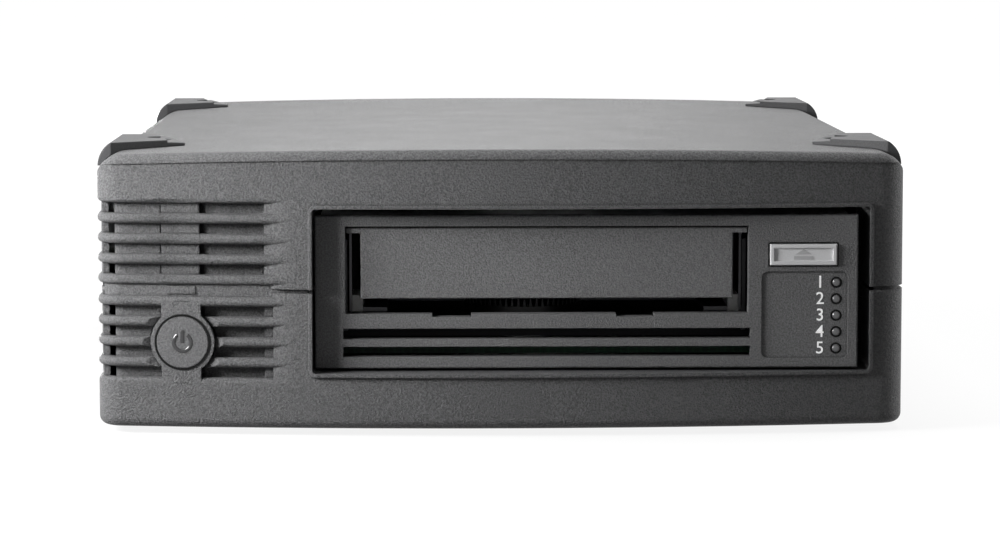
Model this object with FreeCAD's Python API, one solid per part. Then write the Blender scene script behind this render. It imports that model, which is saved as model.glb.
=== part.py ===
import FreeCAD, Part
import math
import os

# Desktop data tape drive: a half-height cartridge drive in a two-part moulded enclosure.
# +X to the right seen from the front, +Y to the back, +Z up; the origin is on the table,
# below the middle of the enclosure. Millimetres.

# Cartridge that the drive takes
cartridge_width = 105.4
cartridge_depth = 102.0
cartridge_height = 21.5

# Drive bezel
slot_clearance = 5.1       # width of the cartridge slot over the cartridge
slot_margin = 8.4          # bezel left of the slot
controls_width = 30.2      # bezel right of the slot
bezel_bottom = 18.1
bezel_height = 42.1
bezel_setback = 6.8        # behind the foremost point of the enclosure
bezel_thickness = 4.0
bezel_edge = 0.5
slot_rise = 15.05          # lower edge of the slot over the bezel's
slot_opening = 24.1
notch_depth = 0.85
notch_spans = ((23.8, 34.5), (74.2, 84.6))    # notches for the cartridge, from the slot's left end
grille_overrun = 0.65      # cooling slots are longer than the cartridge slot
grille_spans = ((8.1, 11.0), (3.2, 6.0))      # cooling slots over the bezel's lower edge
skirt_length = 8.0
skirt_inset = 1.0
slot_width = cartridge_width + slot_clearance
bezel_width = slot_margin + slot_width + controls_width

# Enclosure envelope
left_bay = 59.75           # enclosure left of the drive opening
right_margin = 10.35       # enclosure right of it
opening_gap_left = 0.55
opening_gap_right = 3.25
opening_gap_below = 0.8
opening_gap_above = 2.2
body_width = left_bay + opening_gap_left + bezel_width + opening_gap_right + right_margin
body_depth = 290.0
crown_top = 78.6           # height of the top at its middle
crown_drop = 1.8           # fall of the top from its middle to the sides
foot_height = 2.0          # gap between the table and the base
front_bow = 9.0            # how far the middle of the front stands out
corner_radius = 8.0        # upright corners
shoulder_radius = 8.0      # long upper edges
front_edge_radius = 2.6    # rounding of the upper front edge
bottom_edge_radius = 2.6   # rounding of the lower edges
smallest_radius = 0.5      # left on an edge where the wall's inside takes up the rounding
wall = 2.8
lip_height = 2.7           # band below the upper front edge
lip_overhang = 0.4         # how far that band stands over the front
half_width = body_width / 2
rear_face = body_depth / 2
floor_top = foot_height + wall
far = 400.0                # beyond the part on every side

# Frame of the drive opening
trim_width = 1.1
trim_proud = 0.6
trim_radius = 2.2
trim_edge = 0.35
tunnel_depth = 18.6        # behind the bezel's face
front_apex = trim_proud - rear_face
bow_radius = (half_width ** 2 + front_bow ** 2) / (2 * front_bow)
bow_centre_y = front_apex + bow_radius
bezel_right = half_width - right_margin - opening_gap_right
bezel_left = bezel_right - bezel_width
bezel_top = bezel_bottom + bezel_height
bezel_front = front_apex + bezel_setback
bezel_back = bezel_front + bezel_thickness
slot_left = bezel_left + slot_margin
slot_right = slot_left + slot_width
slot_centre = slot_left + slot_width / 2
slot_bottom = bezel_bottom + slot_rise
slot_top = slot_bottom + slot_opening
opening_left = bezel_left - opening_gap_left
opening_right = bezel_right + opening_gap_right
opening_bottom = bezel_bottom - opening_gap_below
opening_top = bezel_top + opening_gap_above
tunnel_end = bezel_front + tunnel_depth

# Seam between cover and base
seam_height = 39.8         # middle of the visible gap
seam_gap = 1.1
tongue_height = 3.2        # how far the base reaches up inside the cover
tongue_root = 3.0          # how far that tongue reaches down inside the base
tongue_thickness = 1.2
lap_clearance = 0.2
catch_inset = 1.5          # tab on the tongue, from the sides of the strip behind the vent
catch_proud = 0.3
catch_span = (-0.9, 1.2)   # below and above the middle of the seam
cover_bottom = seam_height + seam_gap / 2
base_top = seam_height - seam_gap / 2

# Vent in the front, left of the drive
vent_margin = 4.6          # from the enclosure's side to the open part of the slots
vent_gap = 13.1            # from the open part to the drive opening
vent_slot_height = 2.85
vent_slot_pitch = 5.6
slots_each_side = 4        # slots above and below the one on the seam
seam_slot_extra = 0.15     # the slot on the seam is higher by this on each side
rib_nose_radius = 1.3
ramp_length = 8.4          # from the open part to where the slot floor meets the surface
ramp_depth = 1.6
ledge_length = 2.4         # flat start of the floor in the slots below the seam
ledge_depth = 2.0
side_groove_depth = 1.9
side_groove_length = 18.4
side_groove_runout = 5.0
side_groove_lead = 9.0      # the cutter starts this far behind the groove
corner_floor_depth = 3.8
strip_start = 13.7         # upright strip behind the slots, from the open part's left end
strip_width = 10.9
baffle_start = 0.8
baffle_slit_left = 0.3     # beside the strip's left edge
baffle_slit_right = (0.4, 0.8)    # before and behind its right edge
baffle_depths = (3.5, 2.9, 4.6)   # left, middle and right panels, behind the surface
baffle_back = 7.0
baffle_sheet = 1.6
vent_left = vent_margin - half_width
side_groove_end = front_apex + front_bow + side_groove_length
vent_right = opening_left - vent_gap
ramp_end = vent_right + ramp_length
strip_left = vent_left + strip_start
strip_right = strip_left + strip_width

# Power button
power_inset = 5.8          # from the strip's left edge
power_radius = 7.05
power_gap = 0.45
collar_width = 1.3
collar_depth = 9.0
dish_radius = 12.2         # hollow round the collar, at the surface
dish_depth = 2.0
power_proud = 0.3
power_travel = 2.0
power_flange = 1.4         # how far the retaining flange stands out
power_flange_thickness = 1.2
power_back_gap = 0.1
stem_radius = 2.5
stem_length = 3.0
switch_size = 6.0
switch_height = 3.5
switch_board_width = 22.0
switch_board_rise = 9.0    # board over the switch's middle
power_x = strip_left + power_inset
power_z = seam_height - seam_slot_extra - 2.5 * vent_slot_pitch

# Stacking pads and feet
pad_rise = 0.6             # top of the pads over the middle of the crown
pad_foot_drop = 6.3        # lower end of the pad on the enclosure's side
pad_flat_inset = 3.2       # from the enclosure's side to the flat top
pad_proud = 0.3
pad_corner_inset = 3.5     # start of the slanting front edge
pad_tip_inset = 22.9       # pointed inner end
pad_rear_inset = 15.5      # inner end of the rear edge
pad_sweep = 15.5           # the tip lies behind the front edge by this
pad_step_width = (4.6, 2.6)    # of the low step, at the front and at the rear
pad_step_drop = 0.65
pad_tip_drop = 1.0         # tip of the low step below the flat top
pad_flank = (0.55, 2.9)    # middle of the pad's round flank, inside and below its upper corner
pad_length = 41.0
front_pad_setback = 24.4   # behind the foremost point
rear_pad_setback = 13.0    # rear end of the rear pads, in front of the rear face
dimple_radius = 3.5
dimple_depth = 1.2
dimple_inset = 15.0
dimple_from_front = 26.1
pad_top = crown_top + pad_rise
foot_radius = 7.0
foot_seat = 0.8
foot_chamfer = 0.5

# Cartridge door
door_setback = 2.2         # door axis behind the bezel's face
door_axis_drop = 1.05      # and below the slot's upper edge
door_barrel = 0.9          # radius of the rolled upper edge
door_gap = 0.3
door_panel_inset = 4.15    # narrower panel below the flange
door_panel_rise = 4.1      # lower edge of the panel over the slot's
door_flange_drop = 0.9     # flange reaches this far below the axis
door_pin_radius = 0.6
door_pin_length = 2.0
door_edge_radius = 0.4
door_rib_width = 1.2
door_rib_height = 1.0
door_rib_inset = 12.0
door_rib_ends = (1.5, 2.5)
door_axis_y = bezel_front + door_setback
door_axis_z = slot_top - door_axis_drop

# Eject button and status lights
eject_inset = 24.3         # left end, from the bezel's right edge
eject_width = 18.4
eject_rise = 28.3
eject_height = 5.8
eject_gap = 0.45
eject_proud = 0.9
eject_travel = 1.2
eject_edge = 0.3
eject_dish = 0.5
eject_rim = 1.1
eject_flange = 1.0
eject_stand = 0.1
lights_inset = 26.5
lights_width = 23.7
lights_rise = 2.7
lights_height = 23.8
lights_depth = 0.5
lights_corner = 1.7
light_inset = 5.95
light_rise = 23.45         # uppermost light over the bezel's lower edge
light_pitch = 4.545
light_count = 5
light_radius = 1.35
light_well = 1.57          # radius of the hole's wider mouth
light_well_depth = 0.8
light_tip = 0.55
lens_reach = 3.0
chip_height = 1.0
chip_size = 2.0
front_board_rise = 3.9
eject_left = bezel_right - eject_inset
eject_bottom = bezel_bottom + eject_rise
lights_left = bezel_right - lights_inset
lights_bottom = bezel_bottom + lights_rise
light_x = bezel_right - light_inset

# Running fits and seats
running_gap = 0.05
seat_gap = 0.3
board_thickness = 1.6

# Drive chassis
chassis_inset = 1.55       # from the bezel's sides
chassis_drop = 0.4         # and from its upper and lower edges
chassis_length = 199.6
chassis_wall = 1.6
deck_rise = 5.5            # deck over the chassis' lower edge
deck_thickness = 2.0
deck_setback = 22.0
lid_thickness = 1.0
lid_emboss = 0.4
lid_emboss_inset = 14.0
lid_emboss_front = 40.0
lid_emboss_radius = 8.0
drive_board_gap = 3.2      # between the board and the deck
board_post_radius = 2.0
board_post_inset = 6.0
board_post_ends = (25.6, 12.0)
board_setback = 21.6
board_overrun = 4.0
board_chips = ((91.6, 4.0, 22.0), (115.6, 42.0, 14.0), (7.6, 72.0, 12.0), (111.6, 82.0, 16.0))
board_chip_height = 1.2
connector_inset = 40.35    # left end, from the chassis' right side
connector_width = 28.0
connector_length = 6.7
connector_height = 6.5
connector_wall = 2.0
connector_mouth = 4.0
chassis_left = bezel_left + chassis_inset
chassis_right = bezel_right - chassis_inset
chassis_bottom = bezel_bottom + chassis_drop
chassis_top = bezel_top - chassis_drop
chassis_rear = bezel_back + chassis_length
deck_bottom = chassis_bottom + deck_rise
deck_top = deck_bottom + deck_thickness
drive_board_top = deck_bottom - drive_board_gap
connector_left = chassis_right - connector_inset

# Cartridge tray and its lift
tray_clearance = 1.0       # cartridge to tray wall
tray_sheet = 0.8
tray_setback = 13.6        # behind the bezel's face
tray_lip_drop = 0.75       # lip's underside below the slot's lower edge
tray_lip_thickness = 1.2
tray_lip_width = 10.5
tray_headroom = 1.7
tray_roof_setback = 12.0
tray_window_inset = (18.0, 14.0)
tray_window_radius = 6.0
tray_drop = 3.0
slider_travel = 9.0
slider_thickness = 1.2
slider_overrun = 6.0       # side plates start this far behind the tray's front
slider_short = 10.0        # and end this far before its rear
slider_bridge = 8.0
plate_rise = 4.0           # plates over the pins' middle
lift_pin_radius = 1.2
lift_pin_rise = 15.6
lift_pin_setbacks = (20.0, 80.0)
lift_pin_end = 0.5
lift_gap = 0.6
pin_clearance = 0.1
guide_plate_length = 10.0
guide_width = 3.0
guide_height = 4.6
guide_length = 16.0
guide_chamfer = 1.2
tray_left = slot_centre - cartridge_width / 2 - tray_clearance - tray_sheet
tray_right = slot_centre + cartridge_width / 2 + tray_clearance + tray_sheet
tray_front = bezel_front + tray_setback
tray_rear = tray_front + cartridge_depth
tray_lip_bottom = slot_bottom - tray_lip_drop
tray_lip_top = tray_lip_bottom + tray_lip_thickness
tray_top = tray_lip_top + cartridge_height + tray_headroom + tray_sheet
tray_roof_front = tray_front + tray_roof_setback
slider_front = tray_front + slider_overrun
slider_rear = tray_rear - slider_short
lift_pin_z = tray_lip_bottom + lift_pin_rise
lift_pins_y = [tray_front + setback for setback in lift_pin_setbacks]

# Reels and tape path
reel_offset = -4.85        # reel of the cartridge, from the slot's middle
reel_setback = 54.0        # and from the tray's front
driver_ring_radius = 17.3
driver_ring_inner = 13.0
driver_ring_rise = 3.65    # ring over the deck
driver_disc_thickness = 1.2
driver_hub_radius = 6.0
driver_tooth_height = 2.2
driver_tooth_length = 3.0
driver_tooth_inset = 0.2    # from the ring's rim
driver_tooth_fill = 0.59   # share of the pitch that a tooth takes at its root
driver_tooth_tip = 0.25
driver_teeth = 60
motor_height = 3.0
motor_radius = 18.0
spindle_radius = 2.5
takeup_offset = (-11.6, 92.0)    # from the cartridge's reel
takeup_radius = 37.0
takeup_hub_radius = 19.0
takeup_core_radius = 8.0
takeup_hollow_floor = 3.0
takeup_window_radius = 6.0
takeup_window_place = 0.76 # share of the reel's radius
takeup_windows = 3
tape_rise = 10.0           # lower edge of the tape over the deck
tape_width = 12.65
reel_flange = 1.2
roller_radius = 5.5
roller_flange = 1.5
roller_flange_height = 1.2
roller_lower = 1.5
roller_upper = 1.5
roller_offsets = ((56.0, -30.0), (68.0, -12.0), (68.0, 14.0), (54.0, 30.0))    # from the take-up reel
post_radius = 1.5
post_rise = 5.0            # posts over the tape's upper edge
head_offset = (74.2, 1.0)  # from the take-up reel
head_depth = 3.0
head_half_width = 6.0
head_edge = 1.0
carriage_depth = 11.0
carriage_half_width = 13.0
carriage_waist = (8.0, 12.0, 5.0)    # start, end and half width of the notch for the coil
carriage_margin = 1.0
head_post_offset = (9.0, 9.0)
actuator_start = 12.5
actuator_foot = (9.5, 8.0, 2.0)      # length, half width and height
actuator_coil = (5.0, 4.5, 24.0)     # place on the foot, radius and height
reel_driver_x = slot_centre + reel_offset
reel_driver_y = tray_front + reel_setback
driver_ring_z = deck_top + driver_ring_rise
takeup_x = reel_driver_x + takeup_offset[0]
takeup_y = reel_driver_y + takeup_offset[1]
tape_bottom = deck_top + tape_rise
roller_places = [(takeup_x + x, takeup_y + y) for x, y in roller_offsets]
head_x = takeup_x + head_offset[0]
head_y = takeup_y + head_offset[1]

# Fasteners and posts
screw_radius = 1.5
screw_head_radius = 2.7
screw_head_height = 1.8
screw_grip = 12.0
boss_radius = 3.2
boss_base_extra = 1.0
boss_inset = 1.5
boss_split = 34.0          # height where the base's screw bosses meet the cover's
boss_web = 3.0
boss_front_setback = 40.4
boss_rear_setback = 12.0
drive_screw_head = 1.6
fan_screw_length = 10.0
inlet_screw_length = 7.0
inlet_screw_head = 0.6

# Rails that carry the drive
rail_thickness = 1.2
rail_flange = 9.0
rail_setback = 35.6        # behind the back of the bezel
rail_length = 156.0
rail_top = 44.0
rail_window_inset = 26.0
rail_window_rise = 4.0
rail_window_drop = 10.0
rail_screw_inset = 12.0
rail_screw_rise = 10.0
rail_front = bezel_back + rail_setback
rail_rear = rail_front + rail_length

# Rear panel, fan and sockets
rear_rim = 9.0
panel_thickness = 1.2
panel_foot = 10.0
panel_foot_inset = 8.0
panel_overlap = 1.0        # how far the panel reaches behind the rear rim
panel_vents = 7
panel_vent_pitch = 6.0
panel_vent_width = 3.0
panel_vent_radius = 1.4
panel_vent_rise = 20.0     # over the inlet's middle
panel_vent_drop = 8.0
fan_offset = 91.5          # fan's middle, from the enclosure's right side
fan_rise = 0.7             # above the middle of the enclosure
fan_size = 60.0
fan_depth = 15.0
fan_corner = 4.0
fan_bore_radius = 28.0
fan_hub_radius = 14.0
fan_tip_gap = 1.0
fan_blades = 7
blade_width = 11.0
blade_thickness = 1.0
blade_slant = 38.0
fan_shaft_radius = 1.5
fan_bearing = 3.0
fan_strut = (2.4, 2.0)     # width and depth of a strut
fan_strut_recess = 0.6
fan_struts = 4
fan_screw_inset = 5.0
fan_guard_radii = (8.0, 14.5, 21.0, 26.5)
fan_guard_slot = 4.0
fan_guard_bridge = 3.0
inlet_inset = 37.5         # inlet's middle, from the enclosure's left side
inlet_z = 24.0
inlet_half_width = 13.7
inlet_half_height = 10.1
inlet_flange = (5.0, 1.5, 2.2)       # beyond the screws, beyond the body, and thickness
inlet_depth = 20.0
inlet_recess = (12.0, 8.0, 16.0)     # half width, half height and depth
inlet_chamfer = 4.0
inlet_blade = (1.0, 2.0)   # half width and half height
inlet_blade_ends = (17.0, 6.0)
inlet_blade_places = ((-7.0, -2.0), (0.0, 2.0), (7.0, -2.0))
inlet_screw_pitch = 40.0
data_inset = 39.5          # data socket's middle, from the enclosure's right side
data_z = 30.0
data_half_width = 13.5
data_half_height = 4.6
data_wall = 1.3
data_depth = 22.0
data_mouth_depth = 14.0
data_proud = 1.5
data_collar = 1.5
data_collar_thickness = 1.0
panel_front = rear_face - wall - panel_thickness
panel_back = panel_front + panel_thickness
fan_back = panel_front
fan_front = fan_back - fan_depth
fan_x = half_width - fan_offset
fan_z = (foot_height + crown_top) / 2 + fan_rise
inlet_x = inlet_inset - half_width
data_x = half_width - data_inset

# Mains supply
supply_inset = 7.5
supply_gap = 1.35          # between the board and the drive's rail
supply_length = 156.0
supply_setback = 49.0      # rear end of the board, in front of the rear face
supply_board_z = 12.0
supply_post_radius = 3.0
supply_post_inset = (4.0, 5.0)
heatsink_inset = 12.0
heatsink_sheet = 2.0
heatsink_height = 26.0
heatsink_length = 32.0
heatsink_fin = (7.0, 1.2, 6.0, 5.0)  # reach, thickness, pitch and height of the lowest
heatsink_fins = 4
heatsink_setbacks = (62.0, 104.0)    # from the board's front
transformer_start = 60.0
transformer_core = (32.0, 24.0, 3.0)    # length, height and rise over the board
transformer_margin = (2.0, 2.0)         # to the board's side and to the heatsink
winding_inset = 4.0
winding_overrun = 4.0
winding_radius = 3.0
can_radius = 11.0
can_height = 32.0
can_place = (16.0, 34.0)                # from the board's left side and rear end
small_can_radius = 5.0
small_can_height = 18.0
small_can_places = ((8.0, 16.0), (8.0, 30.0))    # from the board's right side and front
supply_left = supply_inset - half_width
supply_right = chassis_left - rail_flange - supply_gap
supply_rear = rear_face - supply_setback
supply_front = supply_rear - supply_length
supply_top = supply_board_z + board_thickness

# Leads inside the enclosure
harness_radius = 2.2
harness_inset = (6.0, 12.0)
harness_rises = (14.0, 27.0, 32.0)   # over the supply board
harness_shifts = (6.0, 24.0)         # to the right of its start
harness_behind = (32.0, 30.0, 20.0)  # behind the drive
harness_turn = (10.0, 38.0)          # left of its end, and height
harness_entry = (-6.0, 34.0)         # x and height of its end
data_cable_radius = 2.0
data_cable_runs = (19.0, 24.0)       # straight ends
switch_lead_radius = 1.2
switch_lead_runs = (16.0, 36.0)      # behind the switch board
switch_lead_shift = 3.0
switch_lead_z = 19.0
switch_lead_end = 6.0                # behind the front of the supply board
fan_lead_radius = 1.0
fan_lead_z = 16.0
fan_lead_setback = 6.0               # behind the fan's front
fan_lead_shifts = (12.0, 28.0)       # to the left of the fan
fan_lead_bend = (14.0, 1.0)          # forwards and down
fan_lead_loop = (2.0, 4.0, 5.0)      # left of, behind and over the supply board's corner
fan_lead_end = (12.0, 6.0, 8.0)      # inside that corner, and how far above the board


def vec(x, y, z):
    return FreeCAD.Vector(x, y, z)


def box(x0, x1, y0, y1, z0, z1):
    return Part.makeBox(x1 - x0, y1 - y0, z1 - z0, vec(x0, y0, z0))


def rod(radius, start, direction, length):
    return Part.makeCylinder(radius, length, vec(*start), vec(*direction))


def upright(radius, x, y, z0, z1):
    return rod(radius, (x, y, z0), (0, 0, 1), z1 - z0)


def inward(radius, x, z, y0, y1):
    return rod(radius, (x, y0, z), (0, 1, 0), y1 - y0)


def ring(outer, inner, x, y, z0, z1):
    return upright(outer, x, y, z0, z1).cut(upright(inner, x, y, z0, z1))


def joined(shapes):
    """Fuse a list of solids and merge coplanar faces."""
    return shapes[0].fuse(shapes[1:]).removeSplitter()


def polygon(points):
    return Part.Face(Part.makePolygon([vec(*p) for p in points + points[:1]]))


def rounded(shape, radius, test):
    """Round the edges of a shape that pass a test."""
    edges = [edge for edge in shape.Edges if test(edge)]
    return shape.makeFillet(radius, edges)


def is_along(edge, axis):
    if len(edge.Vertexes) != 2:
        return False
    run = edge.Vertexes[1].Point.sub(edge.Vertexes[0].Point)
    return run.Length > 1e-6 and abs(abs(run.dot(axis)) / run.Length - 1) < 1e-6


# Enclosure shells

def front_y(x, inset=0.0):
    """Front of the bowed outline at a given x, moved inwards by inset."""
    return bow_centre_y - math.sqrt((bow_radius - inset) ** 2 - x ** 2)


def outline_prism(inset, z0, z1):
    """Plan outline of the enclosure, moved inwards and extruded upwards."""
    side = half_width - inset
    left = vec(-side, front_y(side, inset), z0)
    right = vec(side, front_y(side, inset), z0)
    nose = vec(0, front_y(0, inset), z0)
    rear_left = vec(-side, rear_face - inset, z0)
    rear_right = vec(side, rear_face - inset, z0)
    wire = Part.Wire([
        Part.Arc(left, nose, right).toShape(),
        Part.LineSegment(right, rear_right).toShape(),
        Part.LineSegment(rear_right, rear_left).toShape(),
        Part.LineSegment(rear_left, left).toShape(),
    ])
    solid = Part.Face(wire).extrude(vec(0, 0, z1 - z0))
    radius = max(corner_radius - inset, smallest_radius)
    return rounded(solid, radius, lambda edge: is_along(edge, vec(0, 0, 1)))


def crown_prism(inset, floor, shoulder=shoulder_radius):
    """Everything under the crowned top and its shoulders, along the whole depth."""
    side = half_width - inset
    top = crown_top - inset
    left = vec(-side, -far, top - crown_drop)
    middle = vec(0, -far, top)
    right = vec(side, -far, top - crown_drop)
    low_right = vec(side, -far, floor)
    low_left = vec(-side, -far, floor)
    wire = Part.Wire([
        Part.Arc(left, middle, right).toShape(),
        Part.LineSegment(right, low_right).toShape(),
        Part.LineSegment(low_right, low_left).toShape(),
        Part.LineSegment(low_left, left).toShape(),
    ])
    solid = Part.Face(wire).extrude(vec(0, 2 * far, 0))
    if not shoulder:
        return solid
    return rounded(solid, max(shoulder - inset, smallest_radius),
                   lambda edge: is_along(edge, vec(0, 1, 0)) and edge.CenterOfMass.z > floor + 1)


def outer_body():
    """Solid outer form: bowed plan, crowned top with a rounded lip, rounded lower edges."""
    body = outline_prism(0, foot_height, crown_top + 1).common(crown_prism(0, 0))
    body = rounded(body, front_edge_radius,
                   lambda edge: edge.BoundBox.ZMin > crown_top - crown_drop - shoulder_radius - 0.5)
    lowered = crown_prism(-1, 0, 0)
    lowered.translate(vec(0, 0, -lip_height - 1))
    undercut = outline_prism(-2, 0, crown_top).cut(outline_prism(lip_overhang, 0, crown_top))
    body = body.cut(undercut.common(lowered))
    return rounded(body, bottom_edge_radius, lambda edge: edge.BoundBox.ZMax < foot_height + 0.01)


def cavity(inset):
    """Inside of the enclosure, with walls of the given thickness."""
    return outline_prism(inset, foot_height + inset, crown_top).common(crown_prism(inset, 0))


def band(outer_inset, inner_inset, z0, z1):
    """Ring between two insets of the plan outline."""
    return outline_prism(outer_inset, z0, z1).cut(outline_prism(inner_inset, z0, z1))


def opening_tunnel():
    """Rounded rectangular tube that frames the drive; its front edge follows the bow."""
    outer = box(opening_left - trim_width, opening_right + trim_width, front_apex - 5, tunnel_end,
                opening_bottom - trim_width, opening_top + trim_width)
    outer = rounded(outer, trim_radius, lambda edge: is_along(edge, vec(0, 1, 0)))
    tunnel = outer.common(outline_prism(-trim_proud, 0, crown_top))
    return rounded(tunnel, trim_edge, lambda edge: edge.BoundBox.YMax < bezel_front)


def opening_hole():
    hole = box(opening_left, opening_right, front_apex - 8, tunnel_end + 1, opening_bottom, opening_top)
    return rounded(hole, trim_radius - trim_width, lambda edge: is_along(edge, vec(0, 1, 0)))


# Vent with round-nosed ribs

def slot_places():
    """Middle and half height of each slot, from the lowest up."""
    places = [(seam_height, vent_slot_height / 2 + seam_slot_extra)]
    for k in range(1, slots_each_side + 1):
        offset = seam_slot_extra + vent_slot_pitch * k
        places.insert(0, (seam_height - offset, vent_slot_height / 2))
        places.append((seam_height + offset, vent_slot_height / 2))
    return places


def vent_surface(x):
    """Front below the lip, where the slots are cut."""
    return front_y(x, lip_overhang)


def slot_rail(z):
    """Path of a slot: along the left side, round the corner and across the front."""
    radius = corner_radius - lip_overhang
    centre_x = corner_radius - half_width
    centre_y = bow_centre_y - math.sqrt((bow_radius - corner_radius) ** 2 - centre_x ** 2)
    turn_end = math.atan2(centre_y - bow_centre_y, centre_x) + 2 * math.pi
    turn_middle = (math.pi + turn_end) / 2

    def on_corner(angle):
        return vec(centre_x + radius * math.cos(angle), centre_y + radius * math.sin(angle), z)

    start = vec(lip_overhang - half_width, side_groove_end + side_groove_lead, z)
    side_end = on_corner(math.pi)
    front_start = on_corner(turn_end)
    front_end_x = ramp_end + rib_nose_radius
    half_way_x = (front_start.x + front_end_x) / 2
    front_end = vec(front_end_x, vent_surface(front_end_x), z)
    return Part.Wire([
        Part.LineSegment(start, side_end).toShape(),
        Part.Arc(side_end, on_corner(turn_middle), front_start).toShape(),
        Part.Arc(front_start, vec(half_way_x, vent_surface(half_way_x), z), front_end).toShape(),
    ])


def slot_cutter(z, half):
    """Slot with flared lips, so that the rib left between two slots has a round nose."""
    nose = rib_nose_radius
    bend = nose * (1 - math.sqrt(0.5))
    start = vec(lip_overhang - half_width, side_groove_end + side_groove_lead, z)
    upper = [start + vec(-2, 0, half + nose), start + vec(0, 0, half + nose),
             start + vec(bend, 0, half + bend), start + vec(nose, 0, half),
             start + vec(wall + 1, 0, half)]
    lower = [vec(point.x, point.y, 2 * z - point.z) for point in upper]
    section = Part.Wire([
        Part.LineSegment(upper[0], upper[1]).toShape(),
        Part.Arc(upper[1], upper[2], upper[3]).toShape(),
        Part.LineSegment(upper[3], upper[4]).toShape(),
        Part.LineSegment(upper[4], lower[4]).toShape(),
        Part.LineSegment(lower[4], lower[3]).toShape(),
        Part.Arc(lower[3], lower[2], lower[1]).toShape(),
        Part.LineSegment(lower[1], lower[0]).toShape(),
        Part.LineSegment(lower[0], upper[0]).toShape(),
    ])
    return slot_rail(z).makePipeShell([section], True, False)


def vent_region():
    """Plan region that the slots may cut: closed floor on the side, open front, rising ramp."""
    floor_x = side_groove_depth - half_width
    corner_y = front_y(-half_width) + corner_floor_depth
    inner_y = corner_y + corner_radius
    deep = vec(vent_right, vent_surface(vent_right) + ramp_depth, 0)
    half_way_x = (vent_right + ramp_end) / 2
    half_way = vec(half_way_x, vent_surface(half_way_x) + ramp_depth / 4, 0)
    shallow = vec(ramp_end, vent_surface(ramp_end), 0)
    corners = [
        (ramp_end, vent_surface(ramp_end), 0),
        (ramp_end, front_apex - 5, 0),
        (-half_width - 5, front_apex - 5, 0),
        (-half_width - 5, side_groove_end, 0),
        (-half_width, side_groove_end, 0),
        (floor_x, side_groove_end - side_groove_runout, 0),
        (floor_x, corner_y, 0),
        (vent_left, corner_y, 0),
        (vent_left, inner_y, 0),
        (vent_right, inner_y, 0),
        (vent_right, vent_surface(vent_right) + ramp_depth, 0),
    ]
    outline = Part.Wire([Part.makePolygon([vec(*corner) for corner in corners]),
                         Part.Arc(deep, half_way, shallow).toShape()])
    region = Part.Face(outline).extrude(vec(0, 0, crown_top))
    ledge = box(vent_right - 1, vent_right + ledge_length, front_apex,
                vent_surface(vent_right) + ledge_depth, 0, seam_height - vent_slot_pitch / 2)
    return region.fuse(ledge)


def vent_cut():
    cutters = [slot_cutter(z, half) for z, half in slot_places()]
    return vent_region().common(Part.makeCompound(cutters))


def collar_radius():
    return power_radius + power_gap + collar_width


def surface_normal(x):
    """Outward direction of the bowed front at a given x."""
    return vec(x, front_y(x) - bow_centre_y, 0).normalize()


def button_dish():
    """Shallow cone that hollows the ribs round the button's collar."""
    out = surface_normal(power_x)
    reach = 3.0
    slope = (dish_radius - collar_radius()) / dish_depth
    start = vec(power_x, front_y(power_x), power_z) - out * dish_depth
    return Part.makeCone(collar_radius(), dish_radius + slope * reach, dish_depth + reach, start, out)


def button_collar():
    """Collar tube and the upright strip that it grows out of, flush with the rib noses."""
    places = slot_places()
    low = places[0][0] - vent_slot_pitch / 2
    high = places[slots_each_side - 1][0] + vent_slot_pitch / 2
    strip = box(strip_left, strip_right, front_apex - 1, 0, low, high)
    strip = strip.common(band(lip_overhang, wall, low, high))
    tube = inward(collar_radius(), power_x, power_z, front_apex, front_y(power_x) + collar_depth)
    tube = tube.common(outline_prism(lip_overhang, 0, crown_top))
    return strip.fuse(tube)


def shell():
    """Both halves of the enclosure in one, before they are parted at the seam."""
    window = box(rear_rim - half_width, half_width - rear_rim, rear_face - wall - 1, rear_face + 1,
                 foot_height + rear_rim, crown_top - rear_rim)
    body = outer_body().cut(cavity(wall)).fuse(opening_tunnel())
    body = body.cut([opening_hole(), window, vent_cut(), button_dish()])
    hole = inward(power_radius + power_gap, power_x, power_z, front_apex - 1,
                  front_y(power_x) + collar_depth + 1)
    return body.fuse(button_collar()).cut(hole)


def seam_tongue(clearance, height):
    """Lip of the base that laps behind the cover, left out beside the drive and at the rear."""
    lap = band(wall - tongue_thickness - clearance, wall + clearance, base_top - tongue_root, base_top + height)
    drive_gap = box(opening_left - trim_width - lap_clearance + clearance,
                    opening_right + trim_width + lap_clearance - clearance,
                    -far, tunnel_end + 5, 0, far)
    side = half_width - rear_rim + 2 - clearance
    rear_gap = box(-side, side, rear_face - 10 + clearance, far, 0, far)
    return lap.cut([drive_gap, rear_gap])


def seam_catch():
    """Raised tab on the tongue, seen in the slot on the seam."""
    low, high = catch_span
    tab = band(wall - tongue_thickness - catch_proud, wall, seam_height + low, seam_height + high)
    return tab.common(box(strip_left + catch_inset, strip_right - catch_inset, -far, 0, 0, far))


def screw_places():
    side = half_width - wall - boss_radius - boss_inset
    rows = (front_apex + boss_front_setback, rear_face - boss_rear_setback)
    return [(x, y) for x in (-side, side) for y in rows]


def make_cover(whole):
    cover = whole.common(box(-far, far, -far, far, cover_bottom, far))
    cover = cover.cut(seam_tongue(lap_clearance, tongue_height + lap_clearance))
    inside = cavity(wall - 0.5)
    for x, y in screw_places():
        boss = upright(boss_radius, x, y, boss_split + seat_gap, crown_top).common(inside)
        cover = cover.fuse(boss).cut(upright(screw_radius, x, y, boss_split, boss_split + screw_grip))
    return cover.removeSplitter()


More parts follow.
